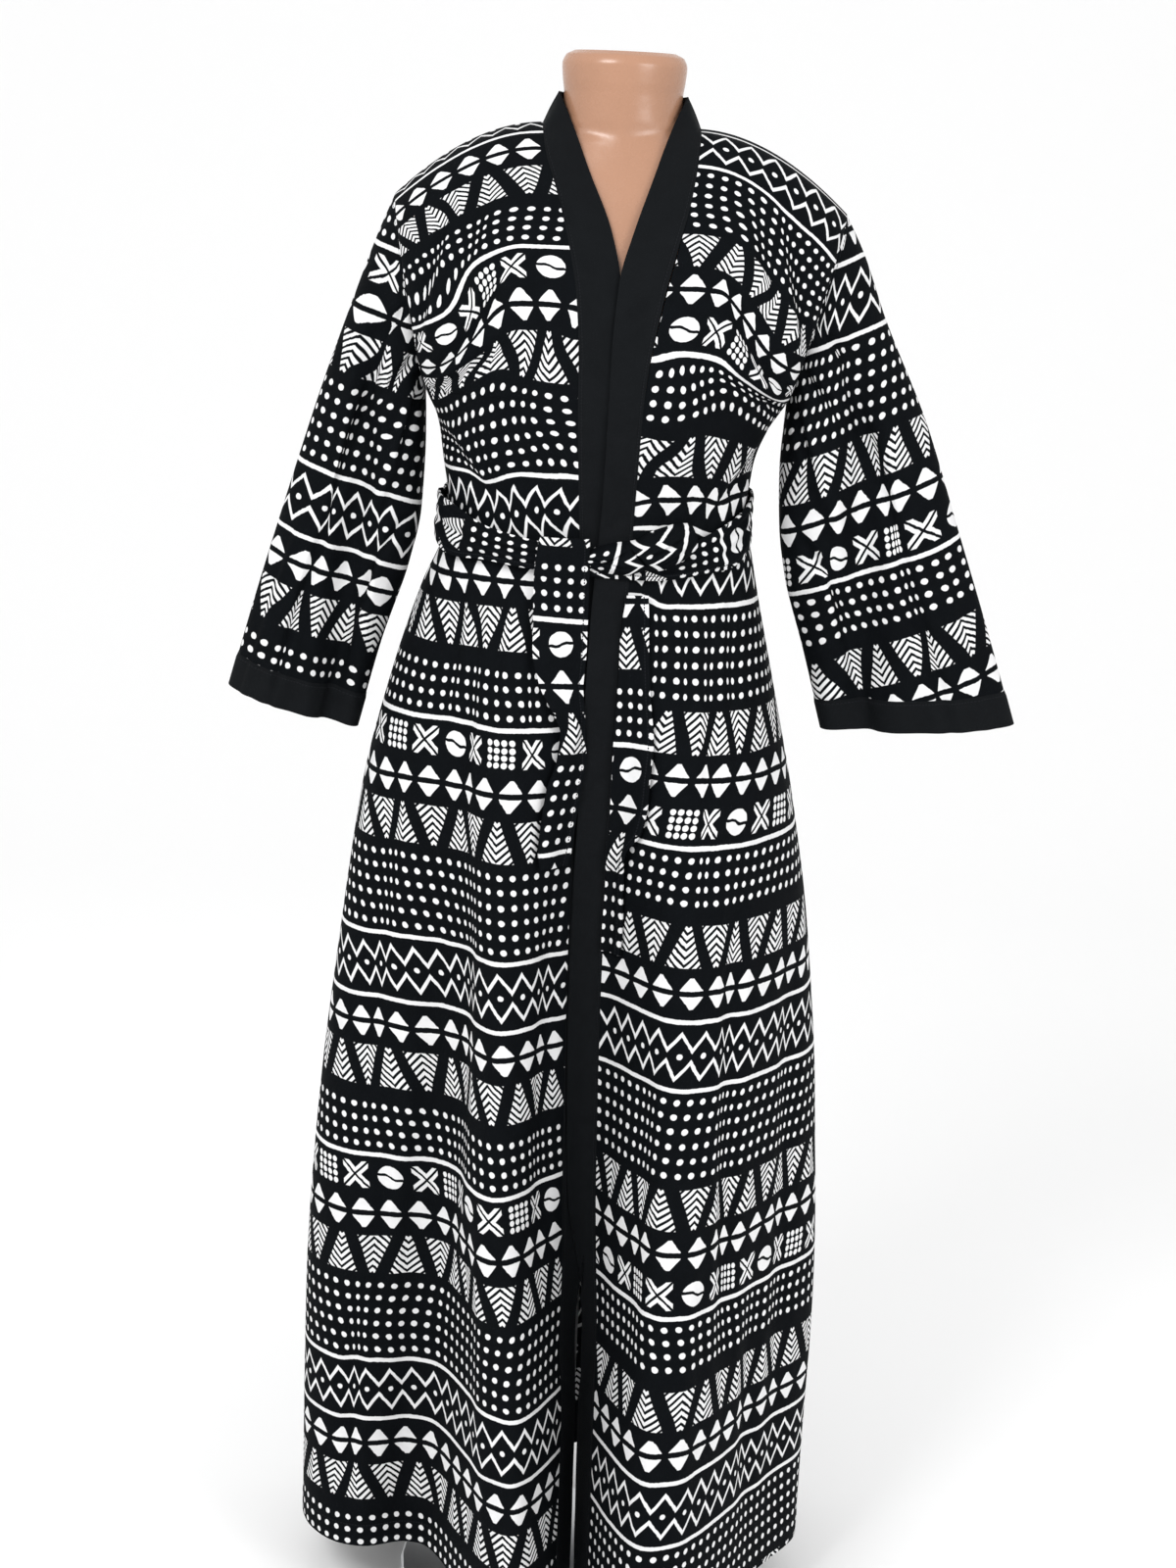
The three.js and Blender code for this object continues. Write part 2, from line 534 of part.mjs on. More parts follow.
// A row of the back: three stretches of equal steps, the middle one below the neckline.
function backRow(drop) {
  const spread = (hand) => mix(NECK_HALF, (halfWidth(hand, drop) * NECK_HALF) / 205, smooth(drop / 300));
  const [right, left] = [turnAt(drop, -spread(-1)), turnAt(drop, spread(1))];
  const settle = smooth(drop / 120);
  const middle = evenRow(1, drop, right, left, BACK_STEPS).map((p, j) => {
    const round = NECK_HALF * -Math.cos((j * Math.PI) / BACK_STEPS);
    return settle < 1 ? bodyPoint(1, drop, turnAt(drop, mix(round, p.x, settle))) : p;
  });
  const row = [
    ...evenRow(1, drop, -Math.PI / 2, right, BACK_STEPS).slice(0, -1),
    ...middle,
    ...evenRow(1, drop, left, Math.PI / 2, BACK_STEPS).slice(1),
  ];
  const fade = 1 - smooth(drop / ARMHOLE_DROP);
  return row.map((p) => {
    if (Math.abs(p.x) > NECK_HALF - 0.001 || fade === 0) return p;
    const low = drop + BACK_NECK_DIP * (1 - (p.x / NECK_HALF) ** 2) * fade;
    return bodyPoint(1, low, turnAt(low, p.x));
  });
}

// The back panel, and the black band that stands on its neckline.
function back() {
  const grid = DROPS.map(backRow);
  const last = 3 * BACK_STEPS;
  const isNeck = (j) => j > BACK_STEPS && j < 2 * BACK_STEPS;
  const normals = gridNormals(grid, 1);
  const shoulder = shoulderNormals(grid[0]);
  normals[0] = normals[0].map((n, j) => (isNeck(j) ? n : shoulder[j]));
  normals.forEach((row, i) => {
    row[0] = edgeNormal(-1, grid[i][0], DROPS[i]);
    row[last] = edgeNormal(1, grid[i][last], DROPS[i]);
  });

  const free = bands.left.edge(0);
  const bandGrid = [];
  for (let r = 0; r <= BAND_STEPS; r++) {
    const seams = grid[0].slice(BACK_STEPS, 2 * BACK_STEPS + 1);
    bandGrid.push(
      seams.map((seam) => {
        const angle = Math.acos(THREE.MathUtils.clamp(seam.x / NECK_HALF, -1, 1));
        const z = NECK_POINT_Z + NECK_BAND_RISE - 4 * Math.sin(angle) ** 2;
        const edge = new THREE.Vector3(free * Math.cos(angle), (free + 1.5) * Math.sin(angle), z);
        return edge.lerp(seam, r / BAND_STEPS);
      }),
    );
  }
  const bandNormals = gridNormals(bandGrid, 1);
  for (const j of [0, BACK_STEPS]) {
    const square = shoulderNormals(bandGrid.map((row) => row[j]));
    bandNormals.forEach((row, r) => (row[j] = square[r]));
    bandGrid.forEach((row) => (row[j] = row[j].clone().setY(SEAM / 2)));
  }

  const cut = drawnGrid(grid, ["first column", "last column"]);
  cut[0] = cut[0].map((p, j) => (isNeck(j) ? drawn(grid[0][j], grid[1][j]) : p.setY(SEAM / 2)));
  return [
    wall("back_panel", cut, normals, CLOTH, PRINTED()),
    wall("neck_band", drawnGrid(bandGrid, ["last row"]), bandNormals, DOUBLED, BLACK()),
  ];
}

// A sleeve's ring at a share of its length, one point for each row of the front's and the back's armhole.
function sleeveRing(sleeve, along) {
  const top = new THREE.Vector3(sleeve.topX(along), 0, sleeve.topZ(along));
  const under = new THREE.Vector3(sleeve.underX(along), 0, sleeve.underZ(along));
  const middle = top.clone().add(under).multiplyScalar(0.5);
  const reach = top.sub(middle);
  return Array.from({ length: 2 * YOKE_STEPS }, (_, k) => {
    const angle = (k * Math.PI) / YOKE_STEPS;
    const side = k < YOKE_STEPS ? -1 : 1;
    let deep = sleeve.half(along) * Math.abs(Math.sin(angle));
    for (const f of SLEEVE_FOLDS) {
      const run = (along - f.from) / (1 - f.from);
      const share = Math.abs(Math.cos(angle) - mix(f.start, f.end, run)) / f.width;
      if (f.side !== side || run <= 0 || share >= 1) continue;
      const rounded = (1 + Math.cos(share * Math.PI)) / 2;
      deep += f.depth * Math.abs(Math.sin(angle)) * smooth(run / f.peak) * rounded;
    }
    return middle.clone().addScaledVector(reach, Math.cos(angle)).setY(side * deep);
  });
}

// A sleeve and its cuff.
function sleeveParts(word) {
  const hand = word === "left" ? 1 : -1;
  const rings = [...SLEEVE_RINGS, mix(CUFF_SHARE, 1, 0.5), 1];
  const grid = rings.map((along) => sleeveRing(sleeves[word], along));
  const normals = gridNormals(grid, hand, true);
  normals[0] = grid[0].map((p) => edgeNormal(hand, p, 0));
  const cut = SLEEVE_RINGS.length;
  const tube = drawnGrid(grid.slice(0, cut), ["first row", "last row"]);
  const cuff = drawnGrid(grid.slice(cut - 1), ["first row"]);
  return [
    wall(`sleeve_${word}`, tube, normals.slice(0, cut), CLOTH, PRINTED(), true),
    wall(`cuff_${word}`, cuff, normals.slice(cut - 1), DOUBLED, BLACK(), true),
  ];
}

// The belt round the waist. It clears the fronts, also where the left one lies over the right one.
function beltRing() {
  const line = curve(BELT_LINE, "angle", "drop");
  const under = [-1, 0, 1].map((row) =>
    Array.from({ length: BELT_STEPS }, (_, k) => {
      const angle = (k * 360) / BELT_STEPS - 180;
      const drop = line(angle) + row * BELT_HALF;
      const side = Math.abs(angle) < 90 ? -1 : 1;
      const point = bodyPoint(side, drop, Math.asin(Math.sin(THREE.MathUtils.degToRad(angle))));
      const lift = side < 0 ? OVERLAP_LIFT * overlapShare(drop, point.x) : 0;
      return { point, off: DOUBLED + BELT_CLEAR + lift + (row === 0 ? 1.5 : 0) };
    }),
  );
  const away = gridNormals(under.map((row) => row.map((u) => u.point)), -1, true);
  const grid = under.map((row, i) => row.map((u, k) => u.point.clone().addScaledVector(away[i][k], u.off)));
  return wall("belt_waist", grid, gridNormals(grid, -1, true), DOUBLED, PRINTED(), true);
}

// The knot: a rounded lump with a flat rear face, in front of the belt.
function beltKnot() {
  const rear = offFront(KNOT.drop, KNOT.x, DOUBLED + BELT_CLEAR + OVERLAP_LIFT + 1.5 + SEAM + 1.5);
  const points = [new THREE.Vector3(rear.x, rear.y - KNOT.deep, rear.z)];
  for (let i = 1; i <= KNOT_ROWS; i++) {
    const lean = ((i / KNOT_ROWS) * Math.PI) / 2;
    for (let k = 0; k < KNOT_SIDES; k++) {
      const angle = (k * 2 * Math.PI) / KNOT_SIDES;
      const dent = 1 - 0.16 * Math.max(0, Math.cos(2 * angle)) * Math.sin(lean) ** 2;
      const across = KNOT.wide * Math.sin(lean) * dent * Math.cos(angle);
      const up = KNOT.high * Math.sin(lean) * dent * Math.sin(angle);
      const y = rear.y - KNOT.deep * Math.cos(lean);
      points.push(new THREE.Vector3(rear.x + across, y, rear.z + up - across / 4));
    }
  }
  const at = (i, k) => 1 + (i - 1) * KNOT_SIDES + (k % KNOT_SIDES);
  const index = [];
  for (let k = 0; k < KNOT_SIDES; k++) {
    index.push(0, at(1, k + 1), at(1, k));
    for (let i = 1; i < KNOT_ROWS; i++) {
      index.push(at(i, k), at(i, k + 1), at(i + 1, k + 1));
      index.push(at(i, k), at(i + 1, k + 1), at(i + 1, k));
    }
    index.push(at(KNOT_ROWS, k), at(KNOT_ROWS, k + 1), points.length);
  }
  return solid("belt_knot", [...points, rear], index, PRINTED());
}

// A hanging end of the belt, on the front's form.
function beltEnd(name, rows) {
  const end = curves(rows, "drop", "x", "half", "off");
  const first = rows[0].drop;
  const last = rows[rows.length - 1].drop;
  const steps = Math.round((last - first) / 24);
  const grid = Array.from({ length: steps + 1 }, (_, i) => {
    const drop = mix(first, last, i / steps);
    return [-1, -0.5, 0, 0.5, 1].map((s) => offFront(drop, end.x(drop) + s * end.half(drop), end.off(drop)));
  });
  return wall(name, grid, gridNormals(grid, -1), DOUBLED, PRINTED());
}

// The dress form's torso and neck: elliptical rings, closed by a flat underside and top.
function torso() {
  const points = [];
  for (const row of FORM) {
    for (let k = 0; k < FORM_SIDES; k++) {
      const angle = (k * 2 * Math.PI) / FORM_SIDES;
      const x = Math.sign(Math.cos(angle)) * row.half * Math.abs(Math.cos(angle)) ** (2 / row.square);
      const deep = Math.sin(angle) < 0 ? -row.front : row.back;
      points.push(new THREE.Vector3(x, deep * Math.abs(Math.sin(angle)) ** (2 / row.square), row.z));
    }
  }
  const rings = FORM.length;
  const underside = points.push(new THREE.Vector3(0, 0, FORM[0].z)) - 1;
  const top = points.push(new THREE.Vector3(0, 0, FORM[rings - 1].z)) - 1;
  const at = (i, k) => i * FORM_SIDES + (k % FORM_SIDES);
  const index = [];
  for (let k = 0; k < FORM_SIDES; k++) {
    index.push(underside, at(0, k + 1), at(0, k));
    for (let i = 0; i < rings - 1; i++) {
      index.push(at(i, k), at(i, k + 1), at(i + 1, k + 1));
      index.push(at(i, k), at(i + 1, k + 1), at(i + 1, k));
    }
    index.push(at(rings - 1, k), at(rings - 1, k + 1), top);
  }
  return solid("form_torso", points, index, PLASTIC());
}

// A round bar or plate of the stand, with a chamfer round its upper edge.
function turned(name, radius, low, high, chamfer) {
  const profile = [
    [0, low],
    [radius, low],
    [radius, high - chamfer],
    [radius - chamfer, high],
    [0, high],
  ];
  const geometry = new THREE.LatheGeometry(profile.map(([r, z]) => new THREE.Vector2(r, z)), ROUND_SIDES);
  geometry.rotateX(Math.PI / 2);
  const mesh = new THREE.Mesh(geometry, STEEL());
  mesh.name = name;
  return mesh;
}

const robe = new THREE.Group();
robe.add(...back(), ...fronts("right"), ...fronts("left"), ...sleeveParts("right"), ...sleeveParts("left"));
robe.add(beltRing(), beltKnot(), beltEnd("belt_end_right", RIGHT_END), beltEnd("belt_end_left", LEFT_END));
robe.add(torso());
robe.add(turned("form_pole", POLE_RADIUS, BASE_THICKNESS + SEAM, FORM[0].z - SEAM, 1));
robe.add(turned("form_base", BASE_RADIUS, 0, BASE_THICKNESS, 2));

export default robe;
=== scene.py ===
"""Looks of a printed cotton kimono robe on a limbless dress form.

Lengths are millimetres in the tables and functions, and metres once they become meshes. The front faces -Y,
+X is the wearer's left and +Z is up.
"""
import math
from functools import partialmethod
from types import SimpleNamespace

import bmesh
import bpy
import numpy as np
from mathutils import Matrix, Vector


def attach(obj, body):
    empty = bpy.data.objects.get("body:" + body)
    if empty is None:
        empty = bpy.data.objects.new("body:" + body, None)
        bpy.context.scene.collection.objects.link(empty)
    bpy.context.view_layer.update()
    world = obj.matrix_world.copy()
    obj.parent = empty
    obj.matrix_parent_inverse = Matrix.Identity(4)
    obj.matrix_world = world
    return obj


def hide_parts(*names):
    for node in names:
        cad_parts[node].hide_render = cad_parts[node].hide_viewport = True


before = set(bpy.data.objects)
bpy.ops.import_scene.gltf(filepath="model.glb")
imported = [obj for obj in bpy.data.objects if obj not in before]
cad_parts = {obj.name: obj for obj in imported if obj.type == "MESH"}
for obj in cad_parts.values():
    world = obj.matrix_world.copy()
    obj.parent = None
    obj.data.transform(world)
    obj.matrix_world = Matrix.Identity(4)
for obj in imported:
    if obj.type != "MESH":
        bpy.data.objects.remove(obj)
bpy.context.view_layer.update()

# The camera, level with the neck and looking down a little, rolled so that the robe leans to the right.
PHOTO_HEIGHT = 1600  # pixels, as the focal length
FOCAL_LENGTH = 2782
SENSOR_HEIGHT = 24.0
CAMERA_PLACE = (-0.0027, -2.5, 1.42)
LOOKS_DOWN = 13.6
ROLL = 2.7
camera = bpy.data.objects.new("camera", bpy.data.cameras.new("camera"))
camera.data.sensor_fit = "VERTICAL"
camera.data.sensor_height = SENSOR_HEIGHT
camera.data.lens = SENSOR_HEIGHT * FOCAL_LENGTH / PHOTO_HEIGHT
camera.matrix_world = (
    Matrix.Translation(CAMERA_PLACE)
    @ Matrix.Rotation(math.radians(90 - LOOKS_DOWN), 4, "X")
    @ Matrix.Rotation(math.radians(ROLL), 4, "Z")
)
bpy.context.collection.objects.link(camera)
bpy.context.scene.camera = camera

# Heights are given as drops below the neck point, where the shoulder meets the neck.
NECK_POINT_Z = 1420
ARMHOLE_DROP = 236
HEM = 1360
SHOULDER_FALL = 68
SHOULDER_HALF = 205
NECK_HALF = 70
BACK_NECK_DIP = 14
NECK_BAND_RISE = 27
NECK_BAND_DIP = 4  # how much lower the neck band's free edge lies at its middle
NECK_BAND_LEAN = 1.5
BAND_WIDTH = 48
SLEEVE_LENGTH = 480
CUFF_SHARE = 0.925
BELT_CLOTH_HALF = 24
BELT_LOW_EDGE = 404

PRINTED_CLOTH = 1.2
BLACK_CLOTH = 2.2
BELT_CLOTH = 2.2
KNOT_CLOTH = 2.0
DOUBLED = 2.6
OVERLAP_LIFT = 4.4
NECK_CLEAR = 2.2
BELT_CLEAR = 1.8
BELT_SWELL = 1.8
KNOT_RIM = 5.0

HEM_FOLD = 26
HEM_STITCHES = 22
STITCHES_OFF = 4
STITCH = 2.8
HIDDEN_CLOTH = 1.9  # how far a trough draws the print to itself, for each millimetre of its depth
SLEEVE_HIDDEN_CLOTH = 1.3


def table(names, rows):
    """Columns of numbers by name."""
    return dict(zip(names.split(), np.array(rows, float).T))


SECTIONS = table("drop right left front back square", [
    (0, 200, 205, 0, 0, 2.6), (5.8, 199, 204, 40, 46, 2.6), (14, 198, 202, 56, 62, 2.6),
    (22.5, 197, 201, 68, 72, 2.6), (48.6, 193, 196, 84, 86, 2.6), (110, 185, 185, 104, 96, 2.6),
    (170, 177, 174, 116, 99, 2.6), (236, 168, 162, 123, 99, 2.5), (262, 156, 146, 122, 98, 2.5),
    (300, 149, 134, 116, 94, 2.4), (345, 143, 130, 106, 88, 2.3), (374, 147, 137, 104, 89, 2.3),
    (416, 164, 146, 107, 98, 2.4), (501, 190, 166, 110, 116, 2.6), (606, 214, 190, 108, 126, 2.8),
    (731, 229, 212, 104, 132, 3), (900, 246, 230, 98, 138, 3.1), (1105, 256, 241, 95, 142, 3.2),
    (1360, 255, 240, 95, 145, 2.7),
])
LEFT_BAND = table("drop seam edge rise", [
    (0, 70, 57, 27), (22.5, 68.5, 44, 21), (57, 64, 31, 17),
    (107, 53, 15, 15), (142, 45, 5, 10), (200, 34, 0.5, 2),
    (236, 30, 0, 0), (315, 27, -1.5, 0), (444, 24, -8, 0),
    (717, 19, -14, 0), (972, 26, -6, 0), (1040, 30, 5, 0),
    (1110, 34, 19, 0), (1195, 35, 20, 0), (1360, 37, 24, 0),
])
RIGHT_BAND = table("drop seam edge rise", [
    (0, -70, -57, 27), (22.5, -66, -43, 21), (57, -54, -27, 18),
    (107, -40, -4, 15), (142, -33, 5, 10), (200, -28, 8, 2),
    (236, -27, 10, 0), (315, -23, 13, 0), (444, -16, 18, 0),
    (717, -14, 20, 0), (972, -9, 20, 0), (1040, -6, 15, 0),
    (1110, -5, 9, 0), (1195, 0, 13, 0), (1360, 2, 15, 0),
])
LEFT_SLEEVE = table("along topX topZ underX underZ half", [
    (0, 205, 1352, 162, 1184, 52), (0.08, 224, 1316, 160.5, 1160, 52),
    (0.2, 246, 1262, 159, 1128, 50), (0.4, 290, 1170, 162, 1070, 46),
    (0.6, 327, 1072, 170, 1022, 42), (0.8, 362, 978, 191, 955, 38),
    (1, 392, 893, 213, 881, 35),
])
RIGHT_SLEEVE = table("along topX topZ underX underZ half", [
    (0, -200, 1352, -168, 1184, 52), (0.08, -214, 1318, -166.5, 1160, 52),
    (0.2, -234, 1262, -166, 1128, 50), (0.4, -264, 1172, -168, 1070, 46),
    (0.6, -292, 1078, -178, 1018, 42), (0.8, -320, 980, -201, 945, 38),
    (1, -342, 897, -222, 862, 35),
])
SLEEVE_FOLDS = table("side from start end width depth peak", [
    (-1, 0, 0.6, -0.65, 0.42, -20, 0.35), (-1, 0.3, 0.8, 0.35, 0.4, 7, 0.85),
    (1, 0, 0.3, -0.1, 0.4, -15, 0.4), (1, 0.25, -0.5, -0.6, 0.36, 6, 0.8),
])
FORM = table("z half front back square", [
    (790, 138, 84, 82, 2), (800, 156, 95, 93, 2), (830, 161, 100, 97, 2),
    (880, 158, 100, 97, 2), (940, 144, 96, 90, 2), (1005, 128, 92, 80, 2),
    (1069, 120, 92, 76, 2), (1120, 124, 98, 80, 2), (1190, 144, 108, 84, 2),
    (1250, 160, 103, 84, 2), (1300, 167, 92, 80, 2), (1340, 168, 78, 73, 2),
    (1368, 163, 68, 66, 2), (1384, 154, 61, 61, 1.9), (1395, 139, 57, 57, 1.75),
    (1404, 118, 54, 54, 1.6), (1411, 90, 52.5, 52.5, 1.5), (1417, 67, 52, 52, 1.7),
    (1427, 54.5, 52, 52, 2), (1446, 53, 52.5, 52.5, 2), (1458, 54.5, 53.5, 53.5, 2),
    (1471, 55.5, 54, 54, 2), (1479, 52.5, 51, 51, 2), (1483, 45, 44, 44, 2),
])
BELT_LINE = table("angle drop", [
    (-180, 336), (-90, 350), (-45, 366),
    (12, 378), (50, 364), (90, 341),
    (180, 336),
])
RIGHT_END = table("drop x half off", [
    (354, -32, 21, 12.5), (385, -33, 23, 12.5), (410, -34, 24, 10),
    (455, -34, 24, 6.5), (485, -32, 20, 7), (512, -25, 15, 9.5),
    (530, -21, 12, 10), (552, -21, 14, 9.5), (581, -27, 16, 8.5),
    (611, -31, 15.5, 7), (632, -33, 15, 6.5), (652, -34, 12, 6.5),
])
LEFT_END = table("drop x half off", [
    (405, 33, 9, 11), (430, 33, 12, 9.5), (484, 36, 15, 9),
    (542, 39, 19, 9), (579, 39, 18.5, 9), (615, 37, 16, 9),
    (637, 32, 11, 10), (670, 30, 10, 9.5), (703, 30, 10.5, 9),
    (733, 30.5, 10.5, 9),
])


# The large folds: each one's crest, how far it stands out, and its reach towards the middle and away from it.
def fold_tables(*folds):
    return [table("drop x depth inner outer steep", rows) for rows in folds]


FRONT_FOLDS = fold_tables(
    [
        (392, -80, 0, 76, 60, 0), (531, -78, 29, 80, 60, 0),
        (745, -74, 62, 82, 60, 0), (954, -69, 88, 80, 64, 0),
        (1168, -46, 112, 62, 84, 0.45), (1360, -42, 122, 62, 92, 1),
    ],
    [
        (392, 96, 0, 84, 110, 0), (531, 96, 32, 84, 120, 0),
        (788, 95, 82, 82, 140, 0), (1049, 88, 120, 74, 152, 0.1),
        (1273, 86, 146, 66, 152, 0.8), (1360, 86, 152, 66, 152, 1),
    ],
    [
        (820, -212, 0, 60, 60, 0), (1100, -216, 12, 64, 60, 0), (1360, -214, 14, 70, 60, 0),
    ],
    [
        (900, -150, 0, 50, 50, 0), (1360, -140, -14, 50, 50, 0),
    ],
)
BACK_FOLDS = fold_tables(
    [
        (400, -96, 0, 34, 34, 0), (760, -138, 20, 48, 46, 0), (1360, -168, 46, 62, 58, 0),
    ],
    [
        (384, -36, 0, 28, 30, 0), (700, -52, 17, 40, 44, 0), (1360, -58, 50, 56, 54, 0),
    ],
    [
        (392, 30, 0, 28, 30, 0), (820, 44, 24, 44, 46, 0), (1360, 62, 44, 58, 54, 0),
    ],
    [
        (420, 92, 0, 34, 30, 0), (900, 142, 28, 50, 44, 0), (1360, 164, 52, 56, 52, 0),
    ],
)


def together(*parts):
    """Coordinates joined into points."""
    return np.stack(np.broadcast_arrays(*parts), -1)


def mix(a, b, t):
    return a + (b - a) * t


def smooth(t):
    t = np.clip(t, 0, 1)
    return t * t * (3 - 2 * t)


def bump(t):
    """A rounded hill, 1 at t = 0 and 0 from t = 1."""
    return np.where(np.abs(t) < 1, (1 + np.cos(np.clip(t, -1, 1) * np.pi)) / 2, 0)


def unit(v):
    return v / np.maximum(np.linalg.norm(v, axis=-1, keepdims=True), 1e-9)


def curve(rows, at, value):
    """A monotone cubic curve through the rows of a table, from column `at` to column `value`."""
    xs, ys = rows[at], rows[value]
    slopes = np.diff(ys) / np.diff(xs)
    a, b = slopes[:-1], slopes[1:]
    inner = np.where(a * b > 0, 2 * a * b / np.where(a * b > 0, a + b, 1), 0)
    tangents = np.concatenate([slopes[:1], inner, slopes[-1:]])

    def at_x(x):
        x = np.clip(x, xs[0], xs[-1])
        i = np.clip(np.searchsorted(xs, x, side="right") - 1, 0, len(xs) - 2)
        h = xs[i + 1] - xs[i]
        t = (x - xs[i]) / h
        start = ys[i] * (1 + 2 * t) * (1 - t) ** 2 + tangents[i] * h * t * (1 - t) ** 2
        return start + ys[i + 1] * t * t * (3 - 2 * t) + tangents[i + 1] * h * t * t * (t - 1)

    return at_x


def curves(rows):
    """One curve for each column of a table, from its first column."""
    first, *others = rows
    return SimpleNamespace(start=rows[first][0], **{name: curve(rows, first, name) for name in others})


section = curves(SECTIONS)
band = {1: curves(LEFT_BAND), -1: curves(RIGHT_BAND)}
SLEEVE = {1: LEFT_SLEEVE, -1: RIGHT_SLEEVE}
sleeve = {1: curves(LEFT_SLEEVE), -1: curves(RIGHT_SLEEVE)}
form = curves(FORM)
folds = {-1: [curves(rows) for rows in FRONT_FOLDS], 1: [curves(rows) for rows in BACK_FOLDS]}


def fold_depth(side, drop, x):
    """How far the large folds stand out of the section."""
    total = 0
    for f in folds[side]:
        crest = f.x(drop)
        away = (x - crest) * np.sign(crest)
        share = np.abs(away) / np.where(away < 0, f.inner(drop), f.outer(drop))
        falling = np.cos(np.clip(share, 0, 1) * np.pi / 2)
        shape = mix(bump(share), falling, np.where(away < 0, f.steep(drop), 0))
        total = total + np.where((drop > f.start) & (share < 1), f.depth(drop) * shape, 0)
    return total


def half_width(hand, drop):
    hole = SLEEVE[hand]
    high = np.abs(mix(hole["topX"][0], hole["underX"][0], drop / ARMHOLE_DROP))
    return np.where(drop < ARMHOLE_DROP, high, section.left(drop) if hand > 0 else section.right(drop))


def width_at(hand, drop):
    return np.where(hand > 0, half_width(1, drop), half_width(-1, drop))


def body(side, drop, turn):
    """A point of the robe's body: side -1 front or 1 back, turn from -90 to 90 degrees across."""
    hand = np.sign(turn)
    power = 2 / section.square(drop)
    share = np.abs(np.sin(turn)) ** power
    x = hand * width_at(hand, drop) * share
    t = np.clip(drop / ARMHOLE_DROP, 0, 1)
    edge = 2 * LEFT_SLEEVE["half"][0] * np.sqrt(t * (1 - t))
    depth = section.front(drop) if side < 0 else section.back(drop)
    fold = fold_depth(side, drop, x) * smooth(np.cos(turn) * 3)
    out = edge + (depth - edge) * np.maximum(0, np.cos(turn)) ** power + fold
    fall = SHOULDER_FALL * (1 - t) * np.clip((share - 0.34) / 0.66, 0, 1) ** 1.9
    return together(x, side * out, NECK_POINT_Z - drop - fall)


def turn_at(drop, x):
    share = np.minimum(1, np.abs(x) / width_at(np.sign(x), drop))
    return np.sign(x) * np.arcsin(share ** (section.square(drop) / 2))


def front(drop, x):
    return body(-1, drop, turn_at(drop, x))


def off_front(drop, x, off):
    """A point that stands off the front by a distance, square to it."""
    across = front(drop, x + 1) - front(drop, x - 1)
    down = front(drop + 1, x) - front(drop - 1, x)
    return front(drop, x) + unit(np.cross(down, across)) * off[..., None]


def overlap(drop, x):
    """How fully the left front lies over the right one."""
    return smooth((drop - 60) / 80) * (1 - smooth((x - 45) / 70))


# Rows of a panel, from the shoulder to the hem: spaced as on a circle down to the armpit, then evenly.
YOKE_ROWS = 64
yoke = ARMHOLE_DROP * (1 - np.cos(np.arange(YOKE_ROWS) * np.pi / YOKE_ROWS)) / 2
ROWS = np.concatenate([yoke, np.linspace(ARMHOLE_DROP, HEM, 226)])

# The length down the cloth at each drop, and how much lower the print lies beside the armholes.
PRINT_DOWN = table("drop length sag", [
    (0, -84, 0), (6, -58, 6), (14, -40, 12),
    (40, 2, 26), (75, 56, 38), (110, 105, 44),
    (160, 160, 46), (210, 210, 40), (265, 265, 22),
    (320, 320, 0), (400, 400, 0), (1360, 1360, 0),
])
print_down = curves(PRINT_DOWN)


def down_cloth(drop, x):
    """The length down the cloth at a place on the body, in the print's own measure."""
    sag = print_down.sag(drop)
    left = mix(smooth((x - 92) / 78) * 0.9, smooth((x - 62) / 105), smooth((40 - drop) / 30))
    right = smooth((-x - 84) / 78) * mix(0.2, 0.9, smooth((drop - 95) / 60))
    return print_down.length(drop) - sag * np.where(x > 0, left, right)


def lengths_across(points):
    """The length along each row of points, from its first one."""
    steps = np.linalg.norm(np.diff(points, axis=1), axis=-1)
    return np.concatenate([np.zeros((len(points), 1)), np.cumsum(steps, axis=1)], axis=1)


def lengths_round(rings):
    """The length round each closed row of points, from its first one."""
    steps = np.linalg.norm(np.roll(rings, -1, axis=1) - rings, axis=-1)
    return np.cumsum(steps, axis=1) - steps


def even_turns(side, drops, start, end, count):
    """Turns spaced evenly along each row of the body, and the lengths along the row at them."""
    fine = start[:, None] + (end - start)[:, None] * np.linspace(0, 1, 500)
    length = lengths_across(body(side, drops[:, None], fine))
    share = np.linspace(0, 1, count + 1)
    turns = np.array([np.interp(share * row[-1], row, t) for row, t in zip(length, fine)])
    return turns, length[:, -1:] * share


def normals_of(grid, closed=False):
    """Unit directions square to a grid, down x across."""
    if closed:
        across = np.roll(grid, -1, axis=1) - np.roll(grid, 1, axis=1)
    else:
        across = np.gradient(grid, axis=1)
    return unit(np.cross(np.gradient(grid, axis=0), across))


def dressed(grid, relief, closed=False):
    """The grid moved out along its own normals."""
    return grid + normals_of(grid, closed) * relief[..., None]


def beside(drop, x, crease):
    """How a place lies to a crease: the share of its half width, its depth there and its direction."""
    x0, drop0, x1, drop1, width, depth, bend = crease
    along = np.array([x1 - x0, drop1 - drop0])
    length = np.hypot(*along)
    along = along / length
    run = ((x - x0) * along[0] + (drop - drop0) * along[1]) / length
    side = (x - x0) * -along[1] + (drop - drop0) * along[0] - bend * np.sin(np.clip(run, 0, 1) * np.pi)
    fade = smooth(run * 3.2) * smooth((1 - run) * 2.4)
    return side / width, depth, fade, along


def creased(drop, x, creases):
    """Soft troughs and ridges. Each runs from one point to another and fades at both ends."""
    total = 0
    for crease in creases:
        share, depth, fade, _ = beside(drop, x, crease)
        total = total + depth * bump(share) * fade
    return total


def drawn_in(share):
    """How the cloth beside a trough moves towards its middle line."""
    share = np.clip(share, -1, 1)
    return share + np.sin(share * np.pi) / np.pi


